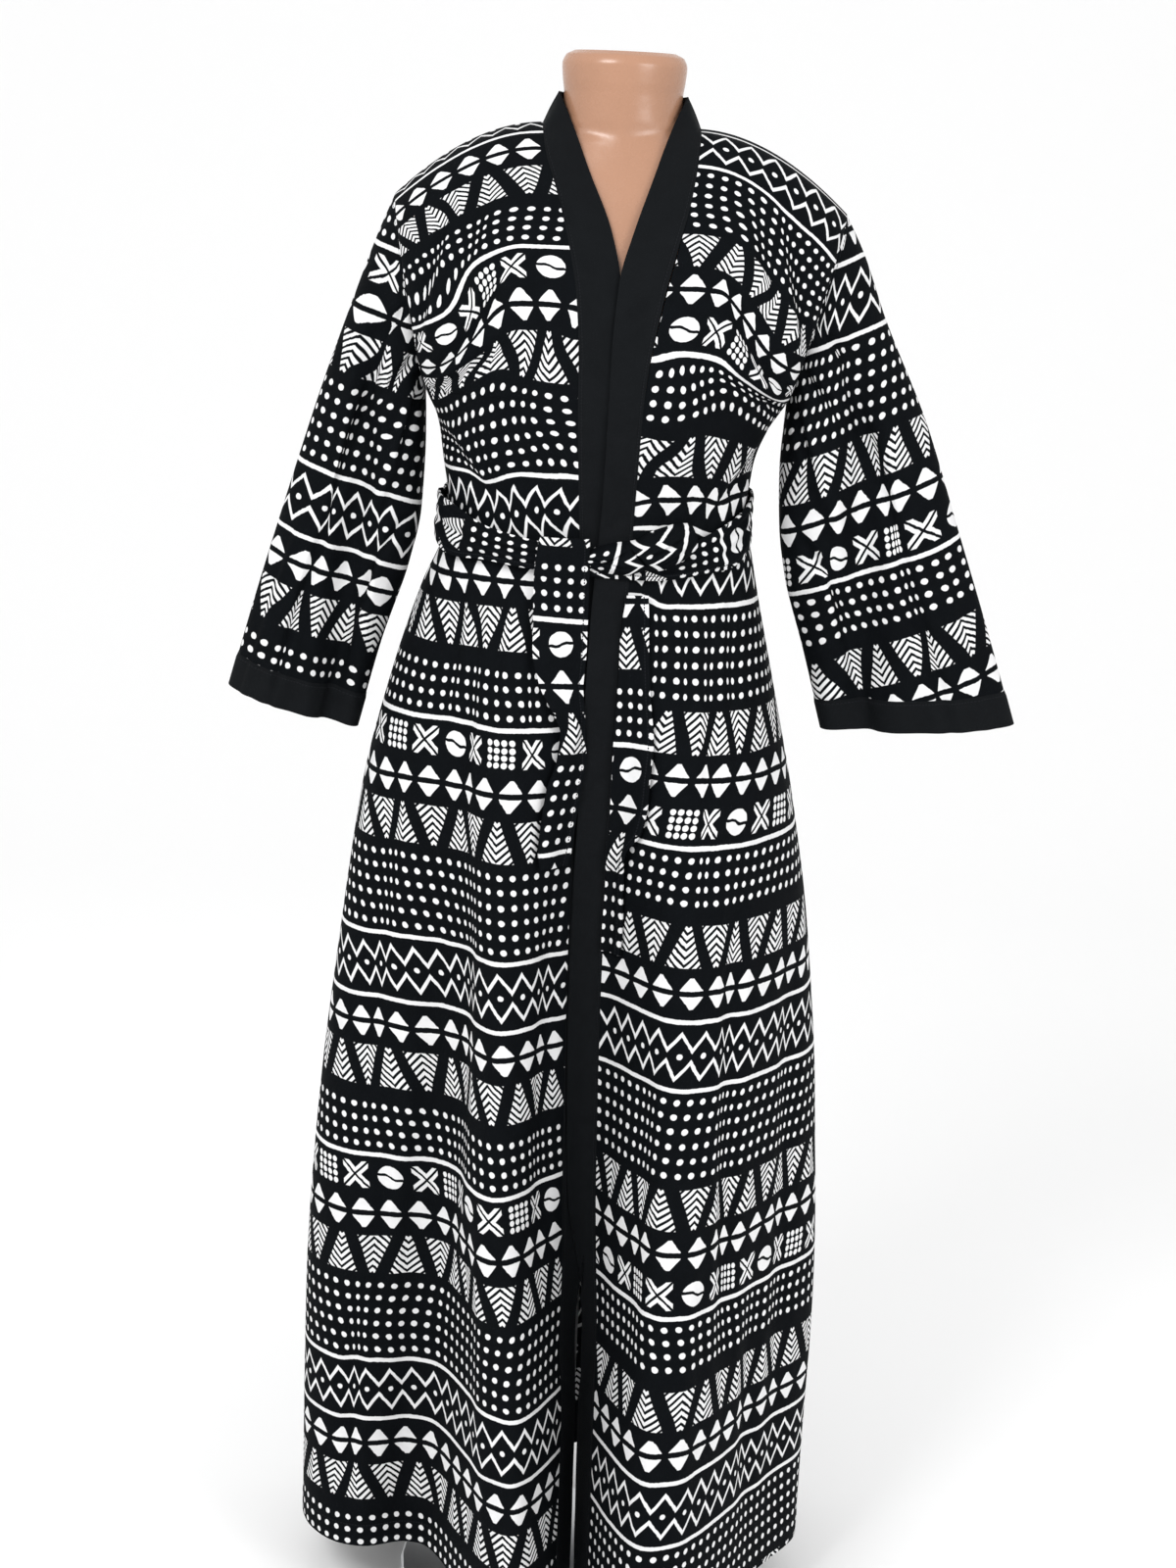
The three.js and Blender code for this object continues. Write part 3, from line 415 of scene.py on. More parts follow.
def tucked(drop, x, creases):
    """How far the print is pushed across and down by the cloth that lies hidden in the troughs."""
    push_x, push_down = 0, 0
    for crease in creases:
        share, depth, fade, along = beside(drop, x, crease)
        push = HIDDEN_CLOTH * max(0, -depth) * drawn_in(share) * fade
        push_x = push_x - push * along[1]
        push_down = push_down + push * along[0]
    return push_x, push_down


def uneven(a, b, size, seed):
    """A slow unevenness of about one unit, made of a few waves."""
    total = 0
    for k in range(5):
        angle = seed * 1.7 + k * 2.4
        pitch = size * (0.7 + 0.45 * k)
        away = a * math.cos(angle) + b * math.sin(angle)
        total = total + np.sin(away * 2 * math.pi / pitch + seed * 3.1 + k)
    return total / 3


def mesh_object(name, points, quads, uv, material, seam=None, sharp=55):
    """A mesh object from points in millimetres. uv is the place on the cloth, and seam holds the length
    along the nearest seam or hem and the distance from it, both in millimetres as well."""
    mesh = bpy.data.meshes.new(name)
    mesh.vertices.add(len(points))
    mesh.vertices.foreach_set("co", (points * 0.001).ravel())
    mesh.loops.add(quads.size)
    mesh.loops.foreach_set("vertex_index", quads.ravel())
    mesh.polygons.add(len(quads))
    mesh.polygons.foreach_set("loop_start", np.arange(0, quads.size, 4))
    mesh.update(calc_edges=True)
    layer = mesh.uv_layers.new(name="cloth")
    layer.data.foreach_set("uv", (uv * 0.001)[quads.ravel()].ravel())
    if seam is not None:
        layer = mesh.uv_layers.new(name="seam")
        layer.data.foreach_set("uv", (seam * 0.001)[quads.ravel()].ravel())
    mesh.validate()
    mesh.shade_smooth()
    mesh.set_sharp_from_angle(angle=math.radians(sharp))
    mesh.materials.append(material)
    piece = bpy.data.objects.new(name, mesh)
    bpy.context.collection.objects.link(piece)
    return piece


def shell(name, grid, uv, thickness, material, seam, closed=False):
    """A thin cloth shell. The grid is its outer face, whose side follows from the grid's own order."""
    normals = normals_of(grid, closed)
    if closed:
        grid, normals = (np.concatenate([a, a[:, :1]], axis=1) for a in (grid, normals))
        uv, seam = (np.concatenate([a, a[:, -1:] * 2 - a[:, -2:-1]], axis=1) for a in (uv, seam))
    rows, cols = grid.shape[:2]
    points = np.concatenate([grid.reshape(-1, 3), (grid - normals * thickness).reshape(-1, 3)])
    number = np.arange(rows * cols).reshape(rows, cols)
    back = number + rows * cols

    def faces(*corners):
        return np.stack(corners, -1).reshape(-1, 4)

    def rim(a, b):
        return faces(a[:-1], b[:-1], b[1:], a[1:])

    quads = [
        faces(number[:-1, :-1], number[1:, :-1], number[1:, 1:], number[:-1, 1:]),
        faces(back[:-1, :-1], back[:-1, 1:], back[1:, 1:], back[1:, :-1]),
        rim(number[0], back[0])[:, ::-1],
        rim(number[-1], back[-1]),
    ]
    if not closed:
        quads += [rim(number[:, 0], back[:, 0]), rim(number[:, -1], back[:, -1])[:, ::-1]]
    quads = np.concatenate(quads)
    uv, seam = (np.concatenate([a.reshape(-1, 2)] * 2) for a in (uv, seam))
    piece = mesh_object(name, points, quads, uv, material, seam)
    if closed:
        merge = bmesh.new()
        merge.from_mesh(piece.data)
        bmesh.ops.remove_doubles(merge, verts=merge.verts, dist=1e-6)
        merge.to_mesh(piece.data)
        merge.free()
    return piece


# Node materials
INK_EDGE = 0.5


class Value:
    """A number in a node tree, with ordinary arithmetic."""

    def __init__(self, tree, socket):
        self.tree = tree
        self.socket = socket

    def math(self, kind, *others):
        node = self.tree.nodes.new("ShaderNodeMath")
        node.operation = kind
        for slot, value in zip(node.inputs, (self, *others)):
            if isinstance(value, Value):
                self.tree.links.new(value.socket, slot)
            else:
                slot.default_value = value
        return Value(self.tree, node.outputs[0])

    __add__ = partialmethod(math, "ADD")
    __sub__ = partialmethod(math, "SUBTRACT")
    __mul__ = partialmethod(math, "MULTIPLY")
    __truediv__ = partialmethod(math, "DIVIDE")
    __abs__ = partialmethod(math, "ABSOLUTE")
    least = partialmethod(math, "MINIMUM")
    most = partialmethod(math, "MAXIMUM")
    over = partialmethod(math, "GREATER_THAN")
    whole = partialmethod(math, "FLOOR")
    sine = partialmethod(math, "SINE")

    def wrapped(self, pitch):
        """The distance from the middle of the nearest repeat, from -pitch/2 to pitch/2."""
        return self.math("WRAP", pitch / 2, -pitch / 2)

    def choose(self, zero, one):
        """zero where this is 0, one where it is 1."""
        return zero + (one - zero) * self

    def clamped(self):
        return self.most(0.0).least(1.0)

    def ink(self):
        """1 inside a shape, whose signed distance is this, and 0 outside it, with a soft edge."""
        return (self * (-1 / INK_EDGE) + 0.5).clamped()


def distance(a, b):
    return (a * a + b * b).math("SQRT")


def cloth_place(tree, name="cloth"):
    """Two coordinates in millimetres: the place across and down the cloth, or along and off a seam."""
    uv = tree.nodes.new("ShaderNodeUVMap")
    uv.uv_map = name
    split = tree.nodes.new("ShaderNodeSeparateXYZ")
    tree.links.new(uv.outputs[0], split.inputs[0])
    return Value(tree, split.outputs[0]) * 1000, Value(tree, split.outputs[1]) * 1000


def noise(tree, scale, detail=2.0, rough=0.5):
    """Uneven patches, about `scale` of them to a metre."""
    node = tree.nodes.new("ShaderNodeTexNoise")
    node.inputs["Scale"].default_value = scale
    node.inputs["Detail"].default_value = detail
    node.inputs["Roughness"].default_value = rough
    place = tree.nodes.new("ShaderNodeTexCoord")
    tree.links.new(place.outputs["Object"], node.inputs["Vector"])
    return Value(tree, node.outputs[0])


REPEAT = 425.0  # length of the print's repeat down the cloth


def row_distance(p, centre):
    """The signed distance down the cloth from a row's middle line, over the repeat."""
    return (p - centre).wrapped(REPEAT)


def line_of(p, centre, half):
    return abs(row_distance(p, centre)) - half


def lozenges(u, p, centre):
    """Two triangles with rounded corners, base to base, with a dark slit between them."""
    q = abs(row_distance(p, centre))
    c = abs(u.wrapped(27.5))
    slope = (c + q * 0.8 - 13.0) * 0.78
    corner = distance(c, q) - 14.2
    shape = slope.most(c - 10.4).most(corner)
    return shape.most(q * -1 + 2.6)


def chevron_triangle(c, q):
    """A triangle that points up, filled with chevrons that open upwards."""
    c = abs(c)
    outline = (c - (q + 18.0) * 0.385 - 2.6) * 0.93
    outline = outline.most(abs(q) - 18.6)
    strokes = abs((q + c * 0.92 + 1.0).wrapped(7.1)) * 0.74 - 1.42
    return outline.most(strokes)


def triangles(u, p, centre):
    """Triangles that point up and down by turns."""
    q = row_distance(p, centre)
    up = chevron_triangle(u.wrapped(65), q)
    down = chevron_triangle((u + 32.5).wrapped(65), q * -1)
    return up.least(down)


def dots(u, p, centre, rows, pitch):
    """A field of round dots, a number of rows high."""
    q = row_distance(p, centre)
    shift = 0.0 if rows % 2 else pitch / 2
    dot = distance(u.wrapped(12.3), (q + shift).wrapped(pitch)) - 2.85
    return dot.most(abs(q) - rows * pitch / 2)


def zigzags(u, p):
    """Two opposed zigzag lines with a row of dots between them."""
    wave = abs(u.wrapped(23)) * (15.5 / 11.5) - 7.75
    upper = (abs(row_distance(p, 227.0) - wave)) * 0.6 - 1.5
    lower = (abs(row_distance(p, 252.2) + wave)) * 0.6 - 1.5
    dot = distance(u.wrapped(23), row_distance(p, 239.6)) - 2.6
    return upper.least(lower).least(dot)


def symbols(u, p):
    """A row of small signs: a split bean, a cross of four angles, a square of dots and a cross."""
    q = row_distance(p, 21.0)
    cell = (u / 34 + 0.5).whole()
    kind = (cell.math("MODULO", 4.0) + 4.0).math("MODULO", 4.0)
    c = u.wrapped(34)
    bean = distance(c, q * 1.09) - 12.4
    slit = abs(q + c * 0.25 + (c * 0.4).sine() * 0.9) * -1 + 1.4
    bean = bean.most(slit)
    cross = abs(abs(abs(c) - abs(q)) - 3.9) * 0.7 - 1.6
    cross = cross.most(abs(c).most(abs(q)) - 13.0)
    square = distance((c + 3.6).wrapped(7.2), (q + 3.4).wrapped(6.8)) - 2.75
    square = square.most(abs(c) - 14.2).most(abs(q) - 13.4)
    odd = kind.math("MODULO", 2.0).over(0.5)
    second = kind.over(1.5)
    return odd.choose(second.choose(bean, square), cross)


def printed_ink(tree, u, p):
    """How white the print is at a place on the cloth, from 0 to 1."""
    shapes = [
        line_of(p, 0.0, 2.1),
        line_of(p, 208.5, 2.0),
        line_of(p, 270.8, 2.0),
        symbols(u, p),
        lozenges(u, p, 58.6),
        triangles(u, p, 99.5),
        dots(u, p, 164.5, 6, 13.3),
        zigzags(u, p),
        lozenges(u + 13, p, 296.5),
        triangles(u + 9, p, 338.0),
        dots(u + 4, p, 395.7, 4, 12.5),
    ]
    shape = shapes[0]
    for other in shapes[1:]:
        shape = shape.least(other)
    return shape.ink()


def new_material(name):
    material = bpy.data.materials.new(name)
    material.use_nodes = True
    tree = material.node_tree
    return material, tree, tree.nodes["Principled BSDF"]


def surfaced(tree, shader, colour, rough):
    tree.links.new(colour, shader.inputs["Base Color"])
    tree.links.new(rough.socket, shader.inputs["Roughness"])


def mixed(tree, share, first, second):
    """A mix of two colours. Inputs 6 and 7 and output 2 are the mix node's colour sockets."""
    node = tree.nodes.new("ShaderNodeMix")
    node.data_type = "RGBA"
    tree.links.new(share.socket, node.inputs["Factor"])
    for slot, colour in ((6, first), (7, second)):
        if isinstance(colour, tuple):
            node.inputs[slot].default_value = (*colour, 1)
        else:
            tree.links.new(colour, node.inputs[slot])
    return node.outputs[2]


def bumped(tree, shader, height, distance, strength=1.0):
    node = tree.nodes.new("ShaderNodeBump")
    node.inputs["Distance"].default_value = distance
    node.inputs["Strength"].default_value = strength
    tree.links.new(height.socket, node.inputs["Height"])
    tree.links.new(node.outputs[0], shader.inputs["Normal"])


def weave(u, p, pitch):
    """Threads over and under each other."""
    warp = (u * (2 * math.pi / pitch)).sine()
    weft = (p * (2 * math.pi / pitch)).sine()
    return warp * weft


def stitched(tree):
    """A row of stitches beside a seam or hem, from 0 to 1, and the shallow dip the thread pulls."""
    along, off = cloth_place(tree, "seam")
    line = (abs(off - STITCHES_OFF) * -3.0 + 2.0).clamped()
    dash = ((along * (2 * math.pi / STITCH)).sine() * 3.0 + 1.6).clamped()
    dip = (abs(off - STITCHES_OFF) * -0.6 + 1.0).most(0.0)
    return line * dash, dip


def printed_cotton():
    material, tree, shader = new_material("printed_cotton")
    u, p = cloth_place(tree)
    drift = noise(tree, 26.0)
    rough = noise(tree, 260.0)
    across = u + (drift - 0.5) * 5.0 + (rough - 0.5) * 1.1
    down = p + (noise(tree, 19.0) - 0.5) * 4.0 + (rough - 0.5) * 1.1
    ink = printed_ink(tree, across, down)
    patches = noise(tree, 70.0, 4.0, 0.6)
    white = mixed(tree, patches, (0.60, 0.60, 0.61), (0.80, 0.80, 0.80))
    ground = mixed(tree, patches, (0.0022, 0.0028, 0.0036), (0.0044, 0.0054, 0.0066))
    stitch, dip = stitched(tree)
    cloth = mixed(tree, ink, ground, white)
    surfaced(tree, shader, mixed(tree, stitch, cloth, (0.010, 0.011, 0.013)), patches * 0.12 + 0.74)
    shader.inputs["Specular IOR Level"].default_value = 0.03
    height = weave(u, p, 1.6) * 0.5 + noise(tree, 900.0) + ink * 0.25 + stitch * 2.0 - dip * 4.0
    bumped(tree, shader, height, 0.0002, 0.6)
    return material


def black_cotton():
    material, tree, shader = new_material("black_cotton")
    u, p = cloth_place(tree)
    patches = noise(tree, 55.0, 4.0, 0.6)
    stitch, dip = stitched(tree)
    cloth = mixed(tree, patches, (0.0040, 0.0047, 0.0055), (0.0070, 0.0080, 0.0092))
    surfaced(tree, shader, mixed(tree, stitch, cloth, (0.011, 0.012, 0.014)), patches * 0.14 + 0.72)
    shader.inputs["Specular IOR Level"].default_value = 0.05
    height = weave(u, p, 1.6) * 0.5 + noise(tree, 800.0) + noise(tree, 45.0, 3.0) * 3.0
    height = height + stitch * 2.0 - dip * 4.0
    bumped(tree, shader, height, 0.0003, 0.6)
    return material


def form_plastic():
    material, tree, shader = new_material("form_plastic")
    patches = noise(tree, 14.0, 3.0)
    tan = mixed(tree, patches, (0.33, 0.172, 0.104), (0.39, 0.206, 0.128))
    surfaced(tree, shader, tan, noise(tree, 120.0, 4.0) * 0.14 + 0.2)
    bumped(tree, shader, noise(tree, 160.0, 3.0), 0.0004, 0.35)
    return material


def stand_steel():
    material, tree, shader = new_material("stand_steel")
    shader.inputs["Metallic"].default_value = 1.0
    grain = noise(tree, 420.0, 3.0)
    surfaced(tree, shader, mixed(tree, grain, (0.5, 0.51, 0.52), (0.62, 0.63, 0.64)), grain * 0.16 + 0.26)
    bumped(tree, shader, grain, 0.0001, 0.4)
    return material


printed, black, plastic, steel = printed_cotton(), black_cotton(), form_plastic(), stand_steel()


# Creases of the panels: from x, drop to x, drop, half of the width, depth (a trough is negative) and bend.
RIGHT_FRONT_CREASES = [
    (-172, 236, -86, 96, 11, -7, 8), (-168, 248, -74, 176, 10, -6, -4),
    (-158, 262, -96, 330, 10, -5.5, 3), (-176, 196, -140, 30, 10, -6, -5),
    (-168, 190, -120, 96, 13, 4, -5), (-150, 150, -108, 40, 12, -4, 4),
    (-118, 236, -70, 330, 14, 3.5, 6), (-60, 120, -92, 300, 18, -2.5, -8),
    (-126, 300, -122, 372, 8, -1.8, 2), (-104, 290, -102, 372, 8, -2, -2),
    (-84, 306, -80, 372, 7, -1.6, 2), (-58, 312, -54, 372, 8, -1.4, 0),
    (-124, 374, -140, 560, 9, -3.3, -4), (-104, 374, -112, 700, 10, -3.6, 5),
    (-86, 374, -88, 520, 8, -2.4, 0), (-62, 374, -58, 600, 10, -2.7, -4),
    (-40, 374, -38, 500, 8, -2.1, 2), (-112, 560, -118, 1150, 16, -6, -6),
    (-170, 520, -196, 980, 16, -4.5, 6), (-150, 700, -168, 1350, 18, 4, 4),
    (-30, 640, -22, 1120, 14, -4, 3), (-88, 900, -66, 1355, 16, 4.5, -4),
    (-196, 1060, -204, 1355, 15, -5, 2),
]
LEFT_FRONT_CREASES = [
    (168, 236, 88, 104, 11, -7, -8), (164, 250, 78, 196, 10, -6, 4),
    (152, 266, 92, 336, 10, -5.5, -3), (172, 190, 138, 28, 10, -6, 5),
    (168, 186, 134, 84, 13, 4, 5), (150, 140, 120, 44, 12, -4, -4),
    (84, 110, 96, 300, 18, -2.5, 8), (56, 180, 62, 330, 16, 2.5, 4),
    (118, 300, 112, 372, 8, -1.8, -2), (98, 290, 94, 372, 8, -2, 2),
    (76, 300, 74, 372, 8, -1.6, -2), (56, 316, 52, 372, 7, -1.4, 0),
    (118, 374, 134, 580, 9, -3, 4), (96, 374, 104, 760, 11, -3.6, -5),
    (76, 374, 80, 540, 8, -2.4, 0), (54, 374, 58, 520, 8, -2.1, 2),
    (136, 600, 158, 1240, 15, -6, 6), (188, 640, 208, 1355, 16, -4.5, -4),
    (64, 760, 54, 1200, 14, -4, -3), (112, 880, 116, 1355, 17, 4, 4),
    (176, 1000, 184, 1355, 14, -4.5, 3),
]
BACK_CREASES = [
    (-150, 214, -92, 140, 11, -4.5, 5), (150, 220, 88, 150, 11, -4.5, -5),
    (-140, 250, -96, 300, 10, -3.5, 3), (136, 246, 90, 306, 10, -3.5, -3),
    (-60, 60, -52, 250, 18, -2, 6), (54, 80, 62, 260, 18, -2, -6),
    (-112, 262, -108, 334, 8, -4, 2), (-84, 250, -82, 334, 8, -4.5, -2),
    (-52, 262, -52, 334, 8, -3.5, 0), (-18, 256, -18, 334, 9, -4, 2),
    (16, 266, 14, 334, 8, -3.5, 0), (46, 252, 46, 334, 8, -4.5, -2),
    (80, 262, 78, 334, 8, -4, 2), (108, 270, 106, 334, 8, -3.5, 0),
    (-112, 340, -128, 600, 10, -5, -4), (-82, 340, -90, 760, 11, -5.5, 4),
    (-52, 340, -54, 520, 9, -4, 0), (-18, 340, -16, 700, 11, -5, 3),
    (16, 340, 16, 500, 8, -3.5, 0), (46, 340, 52, 680, 11, -5, -4),
    (80, 340, 92, 560, 9, -4, 2), (106, 340, 122, 780, 11, -5, -3),
    (-206, 760, -222, 1355, 16, -5, 4), (196, 740, 214, 1355, 16, -5, -4),
    (-108, 820, -112, 1355, 15, 4, 5), (106, 900, 114, 1355, 15, 4, -5),
    (4, 860, 8, 1355, 16, -4, 4),
]
# Small creases of the black bands, as for the panels.
BAND_CREASES = {
    1: [
        (60, 64, 34, 92, 6, -3, 0), (40, 150, 4, 176, 5, -3, 2),
        (34, 172, 2, 192, 5, -2.7, -2), (30, 250, -4, 262, 6, -1.9, 0),
        (24, 330, -6, 352, 7, -1.6, 0), (22, 420, -10, 446, 8, -1.6, 0),
        (20, 560, -12, 600, 8, -1.7, 0), (24, 900, -6, 914, 4, -1.7, 0),
        (30, 1120, 20, 1180, 8, -2.3, 0),
    ],
    -1: [
        (-58, 60, -28, 96, 6, -2.7, 0), (-36, 110, -6, 140, 6, -2.7, 0),
        (-28, 190, 4, 226, 6, -2.3, 0), (-22, 1110, 10, 1190, 8, -2.3, 0),
    ],
}


FRONT_CREASES = {1: LEFT_FRONT_CREASES, -1: RIGHT_FRONT_CREASES}

# Where the print starts on a piece, and whether it runs down (1) or up (-1).
FRONT_PRINT = {1: (198.0, -1), -1: (-103.0, 1)}
SLEEVE_PRINT = {1: (309.0, -1), -1: (-45.0, 1)}
BACK_PRINT = (-103.0, 1)
WORD = {1: "left", -1: "right"}


def printed_place(across, down, start):
    """Cloth coordinates of a piece: across it and along the print."""
    offset, way = start
    return together(across, offset + way * down)


def panel_relief(drop, x, turns, creases, waves):
    """Small relief of a panel, and where it may show: not at the shoulder seam nor at the side seams."""
    calm = smooth(np.cos(turns) * 5) * smooth(drop / 40)
    return creased(drop, x, creases) + waves * smooth(drop / 200), calm


def hem_relief(drop):
    """The step at the top of the folded hem."""
    return smooth((drop - HEM + HEM_FOLD) / 3) * 0.5


def hem_seam(drop, x):
    """Places along and off the hem, for its row of stitches."""
    return together(x, HEM - drop - (HEM_STITCHES - STITCHES_OFF))


def lapped(hand, drop, x):
    """How far a front lies out over the other one."""
    return OVERLAP_LIFT * overlap(drop, x) if hand > 0 else 0


def dress_front(hand):
    """One front, from its seam with the black band to its side seam."""
    creases = FRONT_CREASES[hand]
    seam = turn_at(ROWS, band[hand].seam(ROWS))
    turns, across = even_turns(-1, ROWS, seam, np.full(len(ROWS), hand * np.pi / 2), 96)
    drop = np.broadcast_to(ROWS[:, None], turns.shape)
    grid = body(-1, drop, turns)
    if hand < 0:
        grid, turns, across, drop = (a[:, ::-1] for a in (grid, turns, across, drop))
    x = grid[..., 0]
    relief, calm = panel_relief(drop, x, turns, creases, uneven(x, drop, 120, 3 + hand) * 0.8)
    near_band = smooth(across / 14)
    grid = dressed(grid, relief * calm * near_band + lapped(hand, drop, x) + hem_relief(drop))
    push_x, push_down = tucked(drop, x, creases)
    uv = printed_place(across + hand * push_x, down_cloth(drop, x) + push_down, FRONT_PRINT[hand])
    return shell(f"robe_front_{WORD[hand]}", grid, uv, PRINTED_CLOTH, printed, hem_seam(drop, x))


def dress_band(hand):
    """One black front band."""
    share = np.linspace(0, 1, 19)
    drops = ROWS[:, None]
    strip = band_points(hand, drops, share[None, :])
    if hand < 0:
        strip = strip[:, ::-1]
        share = share[::-1]
    x = strip[..., 0]
    crest = 0.5 * np.sin(np.clip(share, 0, 1) * np.pi)[None, :]
    relief = creased(drops, x, BAND_CREASES[hand]) + crest + uneven(x, drops, 90, 7 + hand) * 0.35
    strip = dressed(strip, relief * smooth(drops / 30) + lapped(hand, drops, x) + 0.5)
    uv = together(share[None, :] * BAND_WIDTH, drops)
    seam = together(drops, (1 - share[None, :]) * BAND_WIDTH)
    return shell(f"robe_band_{WORD[hand]}", strip, uv, BLACK_CLOTH, black, seam)


def band_points(hand, drop, share):
    """A point of a black front band at a share of its width, from its free edge at 0 to its seam at 1."""
    strip = band[hand]
    edge_z = NECK_POINT_Z - drop + strip.rise(drop)
    clear = DOUBLED + NECK_CLEAR
    across = np.minimum(1, np.abs(strip.edge(drop)) / (form.half(edge_z) + clear))
    edge_y = np.where(drop > 0, -(form.front(edge_z) + clear) * np.sqrt(1 - across * across), 0)
    straight = mix(edge_y, front(drop, strip.seam(drop))[..., 1], share)
    x = mix(strip.edge(drop), strip.seam(drop), share)
    y = mix(straight, front(drop, x)[..., 1], smooth((drop - 130) / 110))
    z = NECK_POINT_Z - drop + (1 - share) * strip.rise(drop)
    return together(x, y, z)


# Columns of the back panel: beside the neckline on either hand, and below it.
SIDE_STEPS = 46
NECK_STEPS = 60


def back_turns():
    """Turns of the back panel's columns, which follow the neckline's ends down the panel."""
    wide = {h: half_width(h, ROWS) * NECK_HALF / SHOULDER_HALF for h in (-1, 1)}
    right, left = (turn_at(ROWS, h * mix(NECK_HALF, wide[h], smooth(ROWS / 300))) for h in (-1, 1))
    quarter = np.full(len(ROWS), np.pi / 2)
    side_right = even_turns(1, ROWS, -quarter, right, SIDE_STEPS)[0]
    middle = even_turns(1, ROWS, right, left, NECK_STEPS)[0]
    side_left = even_turns(1, ROWS, left, quarter, SIDE_STEPS)[0]
    round_x = -NECK_HALF * np.cos(np.linspace(0, np.pi, NECK_STEPS + 1))[None, :]
    middle_x = body(1, ROWS[:, None], middle)[..., 0]
    middle = turn_at(ROWS[:, None], mix(round_x, middle_x, smooth(ROWS / 120)[:, None]))
    return np.concatenate([side_right[:, :-1], middle, side_left[:, 1:]], axis=1)


def dress_back():
    """The back panel, and the line of its neckline."""
    turns = back_turns()
    drop = np.broadcast_to(ROWS[:, None], turns.shape)
    plain = body(1, drop, turns)
    x = plain[..., 0]
    fade = 1 - smooth(drop / ARMHOLE_DROP)
    low = drop + BACK_NECK_DIP * np.maximum(0, 1 - (x / NECK_HALF) ** 2) * fade
    grid = body(1, low, turn_at(low, x))
    grid[:, 0], grid[:, -1] = plain[:, 0], plain[:, -1]
    neckline = grid[0, SIDE_STEPS : SIDE_STEPS + NECK_STEPS + 1]
    across = lengths_across(grid)
    across = across - across[:, [SIDE_STEPS + NECK_STEPS // 2]]
    relief, calm = panel_relief(drop, x, turns, BACK_CREASES, uneven(x, drop, 130, 11) * 0.9)
    push_x, push_down = tucked(drop, x, BACK_CREASES)
    uv = printed_place(across + push_x, down_cloth(low, x) + push_down, BACK_PRINT)
    relief = relief * calm + hem_relief(drop)
    grid, relief, uv, seam = (a[:, ::-1] for a in (grid, relief, uv, hem_seam(drop, x)))
    return shell("robe_back", dressed(grid, relief), uv, PRINTED_CLOTH, printed, seam), neckline


def dress_neck_band(neckline):
    """The black band that stands on the back panel's neckline and leans on the form's neck."""
    free = band[1].edge(np.array(0.0))
    angle = np.arccos(np.clip(neckline[:, 0] / NECK_HALF, -1, 1))
    height = NECK_POINT_Z + NECK_BAND_RISE - NECK_BAND_DIP * np.sin(angle) ** 2
    top = together(free * np.cos(angle), (free + NECK_BAND_LEAN) * np.sin(angle), height)
    share = np.linspace(0, 1, 13)[:, None]
    grid = mix(top[None], neckline[None], share[..., None])[:, ::-1]
    crest = 0.6 * np.sin(share * np.pi) + 0.4
    grid = dressed(grid, np.broadcast_to(crest, grid.shape[:2]))
    x = grid[..., 0]
    seam = together(x, (1 - share) * BAND_WIDTH)
    return shell("robe_neck_band", grid, together(x, share * BAND_WIDTH), BLACK_CLOTH, black, seam)


# Creases of a sleeve: side (-1 front, 1 back), run at both ends, place across at both (1 upper fold, -1
# underarm), half of the width in the same measure, and depth.
SLEEVE_CREASES = [
    (-1, -0.06, 0.3, -0.8, 0.1, 0.12, -7), (-1, -0.02, 0.36, -0.92, -0.45, 0.11, -6),
    (-1, -0.05, 0.22, -0.35, 0.5, 0.12, -6), (-1, 0.08, 0.6, -0.62, -0.25, 0.16, 4),
    (-1, 0.02, 1.2, 0.22, 0.34, 0.13, -6.5), (-1, 0.35, 1.2, -0.42, -0.55, 0.13, -5),
    (-1, 0.5, 1.2, 0.62, 0.72, 0.12, 3), (-1, 0.42, 0.8, -0.85, -0.3, 0.1, -3.5),
    (1, -0.06, 0.3, -0.7, -0.1, 0.12, -6), (1, -0.03, 0.26, -0.5, 0.3, 0.12, -5),
    (1, 0.1, 1.2, 0.2, 0.36, 0.15, -5.5), (1, 0.4, 1.2, -0.4, -0.5, 0.13, -4),
    (1, 0.3, 1.1, 0.66, 0.7, 0.14, 3),
]


def sleeve_points(hand, along, angle):
    """A point of a sleeve: a share of its length, and the angle round it from the upper fold."""
    arm = sleeve[hand]
    top = together(arm.topX(along), 0 * along, arm.topZ(along))
    under = together(arm.underX(along), 0 * along, arm.underZ(along))
    middle = (top + under) / 2
    reach = top - middle
    deep = arm.half(along) * np.abs(np.sin(angle))
    side = np.where(angle < np.pi, -1, 1)
    for f_side, start_at, start, end, width, depth, peak in zip(*SLEEVE_FOLDS.values()):
        run = (along - start_at) / (1 - start_at)
        share = np.abs(np.cos(angle) - mix(start, end, run)) / width
        shape = depth * np.abs(np.sin(angle)) * smooth(run / peak) * bump(share)
        deep = deep + np.where((side == f_side) & (run > 0), shape, 0)
    points = middle + reach * np.cos(angle)[..., None]
    points[..., 1] = side * deep
    return points


def sleeve_relief(hand, along, angle):
    """The sleeve's small relief, and how far the print is pushed round it by the hidden cloth."""
    side = np.where(angle < np.pi, -1, 1)
    total = uneven(along * 420, np.cos(angle) * 90, 110, 5 + hand) * 0.9
    push = 0
    for c_side, start, end, place0, place1, width, depth in SLEEVE_CREASES:
        run = (along - start) / (end - start)
        share = (np.cos(angle) - mix(place0, place1, run)) / width
        fade = smooth(run * 3) * smooth((1 - run) * 3) * (side == c_side)
        total = total + depth * bump(share) * fade
        push = push + hand * side * -SLEEVE_HIDDEN_CLOTH * max(0, -depth) * drawn_in(share) * fade
    calm = smooth(np.abs(np.sin(angle)) * 2.5)
    return total * calm * smooth(along * 14), push * np.sin(angle) ** 2


SLEEVE_RINGS = 130
CUFF_RINGS = 13


